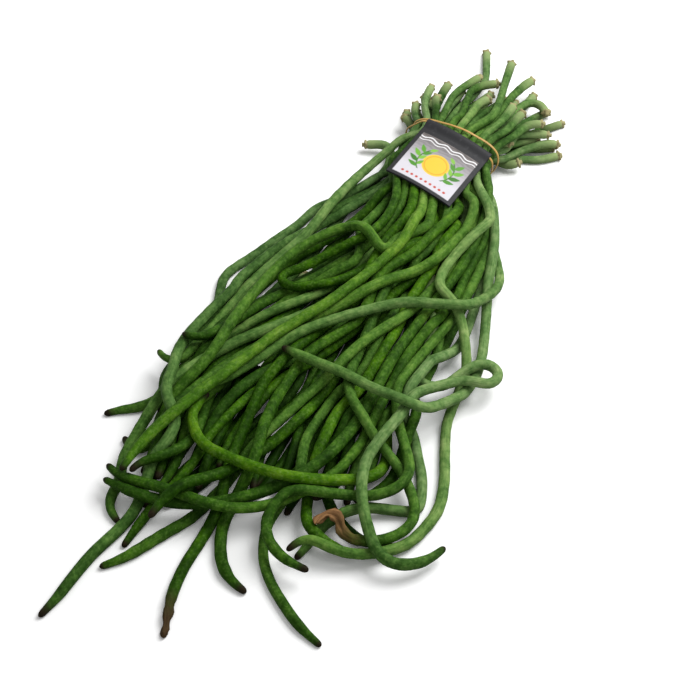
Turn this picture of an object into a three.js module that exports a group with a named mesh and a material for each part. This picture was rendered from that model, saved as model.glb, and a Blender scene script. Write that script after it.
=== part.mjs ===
// A bunch of yardlong beans lying on a table, held near its stem ends by one
// elastic band that also carries a folded card label.
//
// Millimetres, +Z up. The stems point along +Y and the tips along -Y, and the
// table is z = 0. The origin is the middle of the bunch's box, on the table.
//
// Every bean has a route laid by hand: a short list of points from its stem end
// to its tip. The beans are then dropped along their routes. Each one sags under
// its weight, bends gently, and is pushed off its neighbours, the table, the
// band and the card, until nothing overlaps. A six-sided tube is wrapped around
// each bean where it comes to lie.

import * as THREE from 'three';
import { mergeVertices } from 'three/addons/utils/BufferGeometryUtils.js';

const { Vector2, Vector3 } = THREE;

// ------------------------------------------------------------ driving dimensions

const POD_RADIUS = 3.65;       // an ordinary bean, half its thickness
const NECK_SHARE = 0.78;       // how thin a bean's neck is, before the swelling at its end
const NECK_START = 30;         // where it begins to widen
const NECK_END = 170;          // and where it has its full thickness
const END_SWELL = 0.2;         // how much thicker it is again, as a share, at its stem end
const SWELL_START = 10;        // where that begins to fade
const SWELL_END = 55;          // and where it is gone
const TIP_SHARE = 0.62;        // how thin a bean is at its tip
const TIP_LENGTH = 22;         // how far the tip takes to narrow
const POD_SIDES = 6;           // the tube lies on one of its flats
const POD_CAP = 0.7;           // how far its ends stand out, in end radii

const BAND = {
  centre: new Vector3(8, 206.5, 0),
  turn: THREE.MathUtils.degToRad(-12),  // about Z, off the X axis
  half: 37,                    // half the width that it holds the beans to
  bottom: 3.5,                 // it holds them clear of the table, over its own turns
  top: 38.5,
  square: 2.7,                 // 2 for an ellipse, more for squarer shoulders
  width: 2.2,
  thick: 1.1,
  spread: 5.5,                 // its two turns lie this far off the middle on top
  slack: 0.45,                 // between the elastic and the beans
  over: 1.65,                  // how far out one turn goes to pass over the other
  apart: 1.3,                  // above 1, the turns stay apart over all of the top
  rings: 96,                   // sections along both of its turns
};

const CARD = {
  wide: 56,                    // along its folded edge
  long: 60,                    // from the folded edge to its free edge
  thick: 0.5,                  // one leaf
  gap: 0.6,                    // between the two leaves
  fold: 2.4,                   // inside radius of the fold around the elastic
  across: 9,                   // middle of its folded edge, along the band
  up: 41.2,
  roll: THREE.MathUtils.degToRad(11),     // it leans down towards +X
  slope: THREE.MathUtils.degToRad(-5),    // and towards the tips
  bend: 170,                   // radius that it bows to, over the beans
  clear: 0.5,                  // between it and the beans
  closed: 3.2,                 // from the fold to where the leaves meet, in fold radii
  knee: 0.9,                   // from the fold to the bend on the way there, the same
  eased: 4,                    // from the fold to where the beans may lie higher, the same
  wrap: 0.6,                   // half turns that the fold goes around, to either side
  pieces: 8,                   // across it, for its bow
};

// Settling. Lengths in mm, shares per step.
const SETTLE = {
  steps: 600,
  passes: 5,                   // of pushing apart, in each step
  closing: 260,                // steps over which the band tightens and the card comes down
  slackest: 0.9,               // how much wider the band starts, as a share
  above: 30,                   // how much higher the card starts
  tension: 0.35,               // share of a stretch taken out at each end
  fit: 0.02,                   // share of the way to the length that its route now has
  give: 0.02,                  // share of the way to the length that it has now
  unfold: 1.25,                // keeps two links in a row from closing up
  shove: 0.8,                  // furthest that one contact moves a bean in a step
  gap: 0.12,                   // kept between two beans
  lift: 1.35,                  // the beans start this many times as high
  sag: 300,                    // radius that an unheld bean droops to
  stiff: 0.5,                  // share of a kink in height taken out
  follow: 0.35,                // share of a kink in plan taken out
  hold: 0.14,                  // share of the way back to the route
  grip: 0.2,                   // share of the way back to its height in the band
  reach: 3,                    // how far apart neighbours are listed
  widest: 2.2,                 // two touching beans are at most this many radii apart
  apart: 4,                    // links between two places of a bean that could touch
  relist: 8,                   // steps between two listings
  finish: 1500,                // most passes that only separate
  close: 0.015,                // overlap that counts as none
};

// Spacing of the places along a bean.
const STEP = {
  longest: 22,
  nearEnd: 9,                  // the longest within this far of either end:
  end: 20,
  turn: THREE.MathUtils.degToRad(20),
  shortest: 5,
};

// ------------------------------------------------------------ routes

// The routes are laid as seen from EYE. A point [x, y, h] is where a straight
// look past the bean meets the table, so a bean that settles at height z stands
// z / EYE.z of the way from there to EYE. h is only the height it starts at.
// band is where the bean passes through the elastic: along it, and up.
const EYE = new Vector3(257, -707, 807);

const ROUTES = {
  // ---- over the top of the bunch
  long_over_left: {
    stem: [[12, 304, 40], [5, 297, 41], [3, 282, 43], [6, 268, 44]],
    band: [4, 35],
    body: [[5, 163, 38], [3, 145, 34], [0, 124, 32], [-3, 106, 30], [-9, 89, 28], [-15, 71, 27],
      [-22, 53, 26], [-29, 33, 26], [-39, 21, 26], [-49, 5, 25], [-58, -11, 24], [-65, -29, 24],
      [-74, -50, 23], [-84, -70, 22], [-92, -88, 21], [-97, -103, 18], [-100, -118, 14],
      [-103, -135, 9], [-104, -151, 5]],
  },
  crossing_right_to_left: {
    stem: [[92, 261, 6], [74, 243, 7], [61, 231, 8], [49, 217, 10]],
    band: [34, 12],
    body: [[50, 185, 8], [62, 169, 6], [64, 143, 5], [71, 122, 6], [80, 107, 12], [88, 94, 18],
      [85, 79, 24], [76, 66, 28], [63, 58, 31], [46, 59, 33], [33, 62, 34], [17, 57, 34],
      [5, 47, 34], [-6, 36, 32], [-17, 26, 30], [-28, 15, 26], [-36, 5, 22], [-43, -5, 18],
      [-50, -16, 14], [-58, -29, 12], [-66, -43, 12], [-74, -57, 12], [-82, -70, 12]],
  },
  outer_right_turning_back: {
    stem: [[70, 266, 12], [57, 255, 15], [47, 242, 18]],
    band: [35, 17],
    body: [[52, 181, 16], [61, 155, 22], [64, 135, 22], [67, 115, 22], [71, 93, 20],
      [75, 72, 16], [81, 52, 8], [88, 38, 5], [95, 22, 5], [100, 10, 6], [99, -1, 8],
      [95, -13, 12], [88, -24, 18], [77, -32, 22], [64, -41, 28], [50, -36, 32], [35, -33, 34],
      [19, -29, 34], [5, -25, 34], [-9, -21, 32], [-23, -18, 30], [-36, -16, 26], [-46, -15, 22]],
  },
  big_bend_right: {
    stem: [[70, 275, 14], [57, 272, 19], [44, 264, 23], [41, 244, 25]],
    band: [31, 28],
    body: [[42, 188, 28], [53, 172, 30], [56, 156, 31], [51, 146, 32], [42, 128, 32],
      [36, 110, 32], [35, 95, 30], [37, 78, 26], [45, 63, 20], [55, 53, 14], [65, 41, 10],
      [74, 31, 8], [80, 17, 7], [83, 4, 7], [83, -9, 7], [84, -22, 7], [83, -38, 7],
      [87, -55, 6], [93, -75, 6], [99, -95, 6], [101, -112, 6], [97, -130, 6], [89, -146, 7],
      [76, -156, 8], [63, -162, 8], [49, -163, 8], [38, -160, 8], [28, -162, 7], [22, -173, 5]],
  },
  loop_right: {
    stem: [[45, 324, 16], [40, 305, 22], [34, 288, 28], [30, 270, 31]],
    band: [19, 27],
    body: [[42, 170, 12], [42, 140, 8], [38, 110, 6], [38, 80, 6], [37, 50, 6], [42, 20, 6],
      [48, -5, 6], [56, -16, 7], [65, -7, 10], [77, 3, 14], [86, 13, 18], [95, 19, 20],
      [102, 17, 20], [105, 9, 20], [99, 1, 20], [88, -3, 22], [76, -5, 22], [65, -13, 22],
      [54, -25, 22], [49, -39, 22], [47, -57, 26], [43, -76, 30], [44, -98, 32], [52, -121, 30],
      [64, -142, 24], [75, -156, 18], [86, -161, 10], [96, -159, 5], [105, -153, 4],
      [110, -146, 5], [113, -140, 6]],
  },
  left_arch: {
    stem: [[15, 358, 26], [17, 338, 30], [20, 313, 34], [26, 291, 37], [24, 266, 38]],
    band: [10, 35],
    body: [[14, 160, 30], [10, 138, 26], [5, 118, 24], [-4, 107, 24], [-13, 106, 30],
      [-21, 112, 32], [-29, 118, 33], [-38, 121, 33], [-46, 119, 33], [-54, 111, 32],
      [-61, 101, 30], [-68, 90, 28], [-74, 78, 27], [-78, 64, 26], [-81, 51, 26], [-84, 39, 26],
      [-87, 25, 26], [-90, 10, 26], [-92, -6, 25], [-92, -20, 25], [-92, -34, 22],
      [-95, -50, 18], [-97, -66, 15], [-97, -82, 12], [-95, -97, 9], [-93, -111, 6],
      [-95, -124, 5], [-101, -133, 5], [-107, -133, 6], [-113, -127, 7]],
  },
  bright_left: {
    stem: [[-38, 308, 20], [-41, 297, 23], [-39, 278, 26], [-34, 262, 28]],
    band: [-30, 28],
    body: [[-40, 228, 33], [-47, 210, 32], [-54, 190, 30], [-60, 168, 28], [-63, 157, 26],
      [-66, 143, 24], [-68, 129, 22], [-68, 116, 20], [-69, 104, 18], [-71, 93, 16],
      [-76, 80, 14], [-82, 66, 12], [-88, 50, 10], [-93, 36, 8], [-96, 22, 6], [-98, 8, 6],
      [-99, -8, 8], [-97, -22, 8], [-99, -35, 7], [-105, -46, 6], [-113, -52, 5], [-119, -52, 5],
      [-125, -47, 6]],
  },
  curl_left: {
    stem: [[-30, 295, 20], [-30, 278, 26], [-28, 266, 29]],
    band: [-24, 31],
    body: [[-15, 160, 26], [-17, 139, 24], [-23, 119, 24], [-29, 109, 24], [-38, 100, 24],
      [-47, 88, 22], [-55, 74, 20], [-63, 63, 18], [-71, 57, 17], [-74, 50, 17], [-68, 45, 18],
      [-58, 45, 20], [-48, 51, 22], [-35, 62, 22], [-25, 75, 18], [-18, 85, 14], [-10, 92, 10]],
  },
  right_of_label: {
    stem: [[31, 307, 28], [30, 286, 33], [27, 264, 37]],
    band: [21, 32],
    body: [[38, 176, 33], [37, 150, 32], [35, 132, 31], [31, 115, 30], [25, 99, 29],
      [16, 87, 28], [4, 75, 28], [-7, 63, 24], [-17, 46, 16], [-27, 28, 11], [-37, 10, 9],
      [-47, -8, 8], [-57, -26, 6], [-63, -43, 6], [-67, -58, 7], [-72, -72, 8], [-76, -87, 8],
      [-77, -101, 7], [-75, -116, 6], [-74, -130, 6], [-74, -145, 5], [-76, -158, 5]],
  },

  // ---- the left edge, outermost first
  outer_left: {
    stem: [[-48, 271, 7], [-45, 251, 10], [-40, 241, 15]],
    band: [-34, 19],
    body: [[-45, 180, 15], [-52, 165, 14], [-60, 150, 13], [-67, 140, 12], [-74, 130, 10],
      [-80, 111, 7], [-89, 91, 5], [-95, 76, 5], [-100, 65, 5], [-106, 53, 5], [-110, 41, 5],
      [-110, 30, 4], [-106, 18, 4], [-101, 4, 4], [-99, -10, 4], [-97, -25, 4], [-102, -40, 4],
      [-100, -55, 4], [-98, -70, 4], [-96, -84, 4], [-98, -99, 4], [-97, -115, 4]],
  },
  longest_left: {
    stem: [[-43, 281, 12], [-44, 267, 17], [-40, 251, 21]],
    band: [-33, 23],
    body: [[-33, 178, 24], [-43, 160, 22], [-51, 148, 20], [-59, 134, 16], [-67, 119, 12],
      [-74, 106, 10], [-79, 96, 9], [-85, 84, 8], [-88, 74, 8], [-91, 63, 8], [-95, 51, 8],
      [-99, 39, 9], [-99, 28, 10], [-103, 16, 12], [-107, 3, 12], [-109, -12, 12],
      [-110, -28, 12], [-111, -42, 12], [-108, -56, 12], [-108, -70, 12], [-103, -83, 13],
      [-93, -93, 14], [-85, -104, 10], [-83, -118, 8], [-85, -136, 6], [-83, -154, 5],
      [-80, -170, 5], [-80, -182, 6], [-83, -194, 6], [-88, -206, 5], [-92, -220, 4],
      [-95, -236, 4], [-97, -252, 4], [-101, -270, 4]],
  },
  left_pointing_out: {
    stem: [[-10, 366, 30], [-5, 348, 30], [1, 328, 30], [-2, 305, 32], [-8, 280, 35]],
    band: [-10, 35],
    body: [[-2, 165, 28], [-6, 145, 22], [-10, 122, 17], [-15, 100, 14], [-22, 76, 14],
      [-29, 59, 17], [-36, 48, 19], [-44, 40, 19], [-52, 29, 19], [-61, 20, 18], [-69, 10, 17],
      [-77, -2, 15], [-85, -13, 12], [-90, -25, 9], [-94, -40, 6], [-95, -54, 5], [-97, -70, 5],
      [-102, -82, 4], [-108, -91, 4], [-116, -99, 4], [-125, -104, 4], [-134, -111, 5]],
  },
  left_hooked_tip: {
    stem: [[-13, 311, 16], [-14, 290, 22], [-15, 264, 27]],
    band: [-20, 27],
    body: [[-1, 150, 14], [-6, 125, 11], [-12, 100, 9], [-21, 72, 9], [-29, 48, 11],
      [-38, 27, 14], [-49, 15, 16], [-58, 4, 17], [-66, -5, 17], [-74, -14, 17], [-82, -24, 16],
      [-90, -36, 14], [-96, -49, 12], [-99, -62, 10], [-102, -76, 9], [-104, -90, 8],
      [-104, -104, 8], [-106, -118, 8], [-107, -130, 7], [-107, -142, 6], [-103, -153, 5],
      [-100, -164, 4], [-101, -173, 4], [-97, -183, 4], [-88, -190, 4]],
  },
  left_inner: {
    stem: [[-35, 288, 8], [-26, 264, 9], [-18, 239, 8]],
    band: [-15, 8],
    body: [[-10, 150, 8], [-10, 125, 6], [-18, 95, 5], [-26, 65, 5], [-36, 38, 6], [-46, 14, 8],
      [-58, -8, 10], [-68, -22, 14], [-78, -36, 16], [-86, -51, 15], [-92, -65, 14],
      [-96, -79, 12], [-97, -93, 11], [-93, -107, 9], [-90, -120, 7], [-89, -134, 6],
      [-88, -149, 5]],
  },
  left_crossing_tip: {
    stem: [[-4, 330, 22], [-14, 311, 27], [-20, 292, 31], [-20, 272, 34]],
    band: [-17, 33],
    body: [[-13, 165, 32], [-17, 140, 28], [-22, 122, 24], [-25, 105, 20], [-33, 88, 14],
      [-46, 64, 12], [-58, 42, 14], [-68, 30, 14], [-77, 18, 14], [-84, 7, 12], [-90, -5, 12],
      [-95, -15, 16], [-101, -23, 18], [-108, -27, 18], [-116, -27, 16]],
  },
  left_small_tip: {
    stem: [[-40, 291, 12], [-34, 272, 16], [-29, 253, 20]],
    band: [-27, 21],
    body: [[-20, 150, 16], [-25, 130, 18], [-31, 114, 22], [-28, 102, 22], [-24, 92, 20],
      [-25, 82, 17], [-31, 72, 14], [-38, 62, 10], [-47, 48, 6], [-55, 30, 5], [-65, 6, 5],
      [-71, -20, 5], [-76, -45, 5], [-75, -70, 5], [-75, -92, 6], [-74, -110, 7], [-78, -124, 9],
      [-87, -133, 9], [-96, -141, 8], [-98, -150, 8]],
  },

  // ---- the middle, from left to right
  middle_dried_end: {
    stem: [[13, 326, 28], [2, 321, 31], [-7, 309, 34], [-8, 290, 37], [-3, 268, 38]],
    band: [-4, 35],
    body: [[-7, 165, 34], [-6, 145, 30], [-7, 128, 27], [-10, 110, 22], [-12, 90, 18],
      [-14, 62, 14], [-19, 36, 12], [-27, 11, 10], [-36, -9, 9], [-43, -24, 12], [-46, -37, 16],
      [-49, -51, 18], [-46, -68, 18], [-44, -84, 18], [-41, -98, 16], [-39, -113, 9],
      [-37, -130, 6], [-35, -148, 5], [-32, -168, 5], [-32, -184, 4], [-34, -206, 4],
      [-33, -228, 5], [-29, -244, 6], [-25, -258, 6]],
  },
  middle_short_front: {
    stem: [[38, 341, 24], [30, 328, 27], [24, 312, 31], [26, 290, 35], [23, 263, 37]],
    band: [16, 34],
    body: [[31, 175, 36], [32, 169, 36], [22, 151, 34], [17, 133, 30], [12, 115, 27],
      [7, 97, 24], [3, 82, 22], [-3, 66, 18], [-3, 46, 14], [-3, 27, 16], [-9, 16, 18],
      [-18, 5, 18], [-25, -6, 16], [-30, -23, 14], [-31, -43, 18], [-33, -61, 20],
      [-33, -80, 20], [-32, -100, 16], [-31, -118, 8], [-29, -135, 5], [-27, -152, 4],
      [-26, -172, 4], [-17, -192, 4], [-5, -206, 4], [8, -212, 4]],
  },
  middle_light: {
    stem: [[60, 301, 20], [52, 311, 22], [42, 310, 26], [35, 296, 31], [32, 267, 33]],
    band: [27, 31],
    body: [[47, 170, 22], [53, 148, 22], [50, 125, 22], [46, 105, 20], [41, 88, 18],
      [34, 72, 18], [30, 58, 18], [25, 46, 20], [18, 33, 22], [11, 20, 22], [6, 8, 22],
      [3, -5, 20], [0, -16, 16], [-4, -30, 18], [-9, -44, 22], [-15, -59, 24], [-20, -73, 24],
      [-25, -88, 22], [-29, -103, 16], [-31, -118, 8], [-31, -136, 5], [-33, -153, 4],
      [-40, -169, 4], [-49, -180, 4], [-65, -205, 4], [-74, -217, 4], [-82, -225, 4]],
  },
  middle_under_left: {
    stem: [[-1, 318, 20], [-8, 296, 25], [-12, 266, 28]],
    band: [-13, 28],
    body: [[20, 157, 28], [20, 138, 24], [15, 115, 20], [10, 98, 16], [0, 75, 12], [-8, 50, 9],
      [-15, 25, 7], [-22, 1, 6], [-30, -18, 6], [-38, -36, 8], [-45, -54, 10], [-53, -71, 10],
      [-57, -87, 9], [-62, -98, 7], [-64, -108, 5], [-63, -120, 5], [-62, -133, 6],
      [-65, -148, 6], [-70, -162, 5], [-73, -178, 4], [-75, -195, 4], [-76, -207, 4]],
  },
  middle_over_fronts: {
    stem: [[10, 306, 18], [5, 286, 22], [0, 258, 24]],
    band: [-6, 23],
    body: [[10, 150, 20], [6, 120, 14], [0, 95, 10], [-2, 70, 8], [0, 45, 7], [7, 20, 7],
      [7, -5, 7], [0, -28, 7], [-5, -48, 8], [-9, -66, 12], [-14, -82, 14], [-20, -99, 14],
      [-26, -113, 9], [-35, -126, 8], [-45, -135, 10], [-54, -142, 16], [-61, -150, 22],
      [-66, -158, 24], [-69, -168, 18], [-70, -180, 10]],
  },
  middle_long_front: {
    stem: [[25, 310, 22], [19, 288, 26], [14, 261, 28]],
    band: [4, 29],
    body: [[22, 150, 16], [16, 120, 10], [14, 95, 7], [18, 70, 6], [22, 40, 6], [23, 10, 6],
      [19, -15, 6], [13, -38, 7], [6, -56, 10], [1, -72, 12], [-1, -86, 12], [2, -98, 11],
      [7, -109, 9], [9, -123, 6], [6, -140, 5], [2, -158, 4], [5, -175, 4], [14, -193, 4],
      [30, -209, 4], [49, -224, 4], [65, -232, 4]],
  },
  middle_bright_front: {
    stem: [[35, 298, 12], [26, 274, 14], [19, 247, 15]],
    band: [7, 15],
    body: [[32, 150, 26], [30, 128, 26], [26, 110, 24], [23, 88, 20], [26, 60, 16], [28, 35, 14],
      [28, 12, 12], [25, -4, 12], [22, -18, 10], [17, -32, 8], [14, -46, 10], [12, -60, 12],
      [11, -75, 14], [13, -90, 14], [13, -105, 12], [14, -118, 10], [17, -132, 8], [21, -142, 6],
      [27, -152, 5], [38, -160, 4], [52, -164, 4], [64, -163, 4]],
  },
  inner_bend_right: {
    stem: [[48, 274, 7], [37, 253, 8], [29, 232, 8]],
    band: [15, 8],
    body: [[14, 165, 12], [12, 140, 14], [9, 115, 14], [8, 92, 12], [9, 70, 10], [11, 45, 10],
      [9, 22, 12], [4, 6, 12], [3, -8, 12], [5, -22, 12], [10, -36, 14], [17, -48, 14],
      [26, -57, 14], [35, -66, 12], [45, -73, 10], [55, -78, 10], [64, -84, 10], [72, -92, 10],
      [80, -103, 9], [87, -115, 8], [89, -127, 7], [84, -139, 7], [74, -148, 7], [62, -152, 8],
      [51, -151, 10], [46, -143, 13], [40, -137, 14], [34, -140, 12], [31, -149, 10]],
  },

  // ---- the right side
  front_blunt_tip: {
    stem: [[42, 292, 34], [40, 280, 36], [37, 262, 37]],
    band: [33, 25],
    body: [[50, 165, 18], [53, 140, 16], [52, 118, 14], [48, 98, 12], [48, 80, 12], [44, 62, 12],
      [36, 46, 16], [32, 30, 18], [30, 14, 18], [30, -2, 16], [30, -16, 12], [28, -30, 9],
      [28, -45, 10], [29, -60, 10], [27, -75, 10], [25, -91, 10], [20, -105, 10], [11, -119, 8],
      [0, -133, 8], [-14, -148, 10], [-26, -155, 10], [-40, -161, 10], [-56, -163, 11],
      [-75, -166, 11], [-90, -165, 11], [-103, -164, 10], [-112, -162, 10]],
  },
  front_pointed_tip: {
    stem: [[62, 288, 16], [50, 284, 22], [41, 268, 28]],
    band: [34, 21],
    body: [[54, 165, 14], [58, 145, 14], [60, 128, 14], [59, 105, 14], [57, 86, 14],
      [56, 70, 14], [56, 57, 14], [51, 46, 16], [44, 36, 17], [40, 20, 17], [38, 3, 16],
      [37, -13, 12], [37, -28, 9], [35, -45, 9], [33, -60, 10], [32, -77, 10], [32, -92, 10],
      [29, -108, 9], [22, -119, 8], [12, -132, 9], [-3, -144, 12], [-22, -153, 16],
      [-47, -157, 18], [-66, -156, 19], [-86, -157, 19], [-100, -157, 17], [-108, -155, 15],
      [-114, -151, 14]],
  },
  front_arch: {
    stem: [[58, 240, 7], [53, 224, 8]],
    band: [31, 8],
    body: [[56, 170, 8], [64, 148, 7], [68, 125, 6], [66, 100, 5], [64, 80, 5], [65, 62, 6],
      [60, 46, 10], [50, 30, 13], [46, 14, 13], [45, 0, 12], [44, -12, 10], [39, -26, 8],
      [47, -42, 7], [57, -57, 8], [65, -72, 12], [77, -84, 16], [78, -94, 18], [73, -105, 18],
      [62, -114, 18], [50, -118, 18], [36, -120, 20], [20, -120, 22], [8, -125, 22],
      [2, -135, 22], [0, -148, 18], [2, -162, 12], [10, -173, 7], [20, -180, 5], [30, -183, 5],
      [38, -184, 5]],
  },
  right_snake: {
    stem: [[56, 234, 6], [43, 221, 6]],
    band: [24, 8],
    body: [[50, 180, 5], [58, 160, 5], [65, 137, 5], [69, 112, 5], [72, 88, 5], [68, 68, 5],
      [66, 54, 5], [70, 41, 5], [74, 30, 4], [73, 20, 5], [62, 13, 7], [51, 7, 8], [46, -5, 7],
      [43, -19, 6], [39, -32, 5], [47, -43, 4], [59, -54, 4], [67, -67, 5], [76, -79, 6],
      [81, -90, 5], [86, -101, 4], [88, -112, 4], [84, -120, 4], [72, -123, 5], [59, -125, 5],
      [48, -133, 5], [39, -145, 5], [34, -158, 4], [32, -170, 4], [29, -179, 4]],
  },
  bright_bow: {
    stem: [[23, 302, 14], [17, 275, 18], [11, 250, 22]],
    band: [1, 23],
    body: [[28, 150, 14], [34, 120, 8], [41, 90, 5], [48, 60, 5], [53, 35, 5], [50, 9, 5],
      [43, -12, 5], [43, -35, 5], [48, -52, 5], [53, -66, 6], [58, -80, 8], [58, -93, 10],
      [52, -103, 12], [42, -110, 14], [28, -116, 16], [11, -121, 17], [-8, -122, 20],
      [-26, -121, 22], [-46, -119, 22], [-60, -115, 20], [-71, -107, 17], [-79, -95, 13],
      [-81, -83, 9], [-78, -72, 6]],
  },

  // ---- underneath
  loose_on_the_left: {
    stem: [[-67, 214, 6], [-60, 217, 7], [-53, 220, 8], [-46, 215, 8]],
    body: [[-40, 196, 8], [-41, 182, 7], [-48, 158, 6], [-56, 130, 5], [-58, 105, 5],
      [-62, 80, 4], [-68, 55, 4], [-74, 30, 4], [-81, 5, 4], [-84, -20, 4], [-86, -45, 4],
      [-86, -70, 4], [-87, -95, 4], [-92, -116, 4]],
  },
  under_right: {
    stem: [[51, 251, 24], [42, 248, 25], [32, 243, 24]],
    band: [30, 21],
    body: [[44, 185, 22], [46, 160, 14], [44, 130, 7], [38, 100, 5], [27, 76, 5], [21, 51, 5],
      [19, 25, 5], [22, 0, 5], [28, -22, 5], [32, -45, 4], [38, -65, 4], [40, -90, 4],
      [38, -112, 4], [44, -130, 4]],
  },
  under_curl: {
    stem: [[-22, 276, 7], [-14, 256, 7], [-6, 236, 7]],
    band: [-7, 7],
    body: [[-12, 150, 10], [-18, 125, 9], [-24, 95, 8], [-30, 65, 7], [-34, 35, 7],
      [-36, 5, 6], [-36, -25, 5], [-37, -50, 5], [-43, -66, 5], [-52, -68, 6],
      [-60, -62, 7], [-65, -54, 8], [-63, -45, 9], [-56, -39, 9], [-49, -38, 8]],
  },
  under_far_left: {
    stem: [[-44, 272, 7], [-36, 254, 9], [-26, 238, 10]],
    band: [-22, 10],
    body: [[-30, 170, 6], [-36, 145, 5], [-42, 120, 5], [-48, 95, 5], [-52, 70, 5],
      [-52, 45, 5], [-52, 20, 5], [-55, -5, 5], [-60, -30, 5], [-64, -58, 5], [-66, -85, 5],
      [-66, -110, 5]],
  },
  under_left: {
    stem: [[16, 282, 7], [13, 258, 7], [9, 235, 7]],
    band: [0, 7],
    body: [[-5, 165, 6], [-9, 135, 5], [-14, 105, 4], [-20, 78, 4], [-26, 50, 4],
      [-32, 24, 4], [-38, 0, 4], [-45, -25, 4], [-50, -50, 4], [-54, -80, 4], [-56, -105, 4],
      [-54, -130, 4], [-50, -150, 4]],
  },
  under_middle_left: {
    stem: [[-34, 286, 13], [-29, 264, 17], [-23, 246, 19]],
    band: [-20, 19],
    body: [[5, 160, 8], [2, 130, 7], [-2, 100, 6], [-6, 70, 5], [-10, 40, 5], [-16, 12, 4],
      [-22, -15, 4], [-27, -40, 4], [-30, -70, 4], [-29, -95, 4], [-22, -118, 4],
      [-16, -138, 4]],
  },
  under_middle: {
    stem: [[24, 290, 12], [17, 268, 14], [9, 245, 16]],
    band: [0, 16],
    body: [[16, 150, 8], [12, 120, 6], [8, 90, 5], [5, 60, 4], [4, 30, 4], [2, 0, 4],
      [-3, -25, 4], [-8, -50, 4], [-12, -80, 4], [-13, -110, 4], [-14, -135, 4]],
  },
  under_middle_right: {
    stem: [[42, 292, 18], [32, 272, 21], [19, 250, 23]],
    band: [8, 23],
    body: [[26, 155, 10], [24, 125, 7], [20, 95, 5], [16, 65, 4], [14, 35, 4], [12, 5, 4],
      [8, -25, 4], [4, -55, 4], [4, -85, 4], [8, -110, 4], [12, -135, 4]],
  },
  under_right_edge: {
    stem: [[68, 263, 10], [55, 260, 14], [44, 246, 16], [38, 236, 17]],
    band: [29, 16],
    body: [[56, 165, 8], [64, 140, 5], [66, 115, 5], [66, 95, 5], [62, 72, 5], [63, 50, 5],
      [62, 38, 5], [58, 22, 5], [50, 10, 5], [44, -6, 5], [40, -28, 5], [38, -50, 5],
      [40, -70, 5], [44, -88, 5], [46, -105, 5]],
  },
  under_right_middle: {
    stem: [[64, 308, 12], [54, 296, 18], [42, 278, 24], [33, 256, 26]],
    band: [25, 25],
    body: [[50, 165, 12], [50, 140, 8], [48, 115, 6], [46, 90, 6], [44, 65, 6], [45, 45, 6],
      [48, 30, 6], [52, 15, 6], [50, -5, 6], [46, -25, 6], [44, -50, 6], [46, -75, 6],
      [50, -95, 6], [46, -112, 6]],
  },
  under_diagonal: {
    stem: [[84, 266, 6], [72, 258, 10], [54, 247, 14], [37, 234, 17]],
    band: [21, 17],
    body: [[30, 160, 12], [24, 130, 10], [18, 100, 9], [12, 72, 9], [6, 45, 9], [-4, 20, 9],
      [-14, -2, 9], [-26, -24, 9], [-38, -46, 9], [-46, -68, 8], [-48, -90, 7],
      [-46, -112, 6], [-44, -130, 5]],
  },
  under_diagonal_left: {
    stem: [[36, 312, 20], [30, 296, 25], [19, 266, 29]],
    band: [12, 28],
    body: [[22, 160, 14], [18, 135, 12], [12, 110, 10], [6, 85, 9], [0, 60, 9], [-8, 36, 9],
      [-18, 12, 9], [-28, -10, 9], [-38, -32, 9], [-48, -52, 9], [-56, -72, 8], [-62, -92, 7],
      [-64, -112, 6], [-62, -132, 5]],
  },
  under_left_low: {
    stem: [[-10, 292, 13], [-12, 270, 15], [-12, 246, 16]],
    band: [-13, 16],
    body: [[0, 160, 8], [-6, 135, 6], [-14, 110, 6], [-24, 85, 5], [-36, 60, 5], [-48, 35, 5],
      [-60, 10, 5], [-70, -15, 5], [-76, -40, 5], [-80, -65, 5], [-82, -90, 5],
      [-82, -115, 5], [-80, -138, 5], [-78, -152, 5]],
  },
  under_left_high: {
    stem: [[12, 312, 26], [6, 296, 30], [-2, 270, 31]],
    band: [-4, 29],
    body: [[-6, 150, 14], [-16, 125, 12], [-28, 100, 10], [-42, 76, 10], [-56, 52, 10],
      [-70, 30, 10], [-82, 8, 10], [-90, -15, 9], [-95, -40, 8], [-98, -65, 7],
      [-98, -90, 6], [-96, -112, 5]],
  },
  under_left_edge: {
    stem: [[-52, 262, 8], [-46, 252, 11], [-38, 242, 15]],
    band: [-32, 16],
    body: [[-38, 170, 8], [-46, 150, 6], [-56, 128, 5], [-66, 106, 5], [-76, 84, 5],
      [-84, 62, 5], [-92, 40, 5], [-98, 18, 5], [-102, -4, 5], [-104, -28, 5],
      [-106, -52, 5], [-104, -76, 5], [-98, -98, 5]],
  },
  under_left_middle: {
    stem: [[-26, 312, 14], [-28, 294, 19], [-27, 268, 23]],
    band: [-25, 24],
    body: [[-22, 165, 14], [-30, 145, 10], [-42, 122, 8], [-54, 100, 8], [-66, 78, 8],
      [-76, 56, 8], [-84, 34, 8], [-90, 12, 8], [-92, -12, 8], [-92, -36, 8], [-90, -60, 7],
      [-86, -84, 6], [-82, -106, 5], [-76, -126, 5]],
  },
  under_straight_down: {
    stem: [[4, 296, 12], [2, 272, 14], [-1, 246, 16]],
    band: [-6, 16],
    body: [[-4, 160, 8], [-4, 130, 6], [-6, 100, 5], [-8, 70, 5], [-10, 40, 4], [-10, 10, 4],
      [-10, -20, 4], [-12, -50, 4], [-8, -75, 4], [-2, -95, 4], [0, -115, 4], [-2, -132, 4]],
  },
  under_front: {
    stem: [[38, 276, 9], [28, 256, 8], [19, 234, 7]],
    band: [7, 7],
    body: [[14, 150, 8], [16, 120, 6], [18, 90, 5], [20, 60, 4], [22, 30, 4], [22, 0, 4],
      [22, -30, 4], [24, -60, 4], [30, -85, 4], [36, -105, 4], [30, -122, 4], [20, -132, 4]],
  },
  under_inner_right: {
    stem: [[78, 296, 8], [64, 282, 12], [46, 264, 17], [32, 246, 20]],
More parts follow.
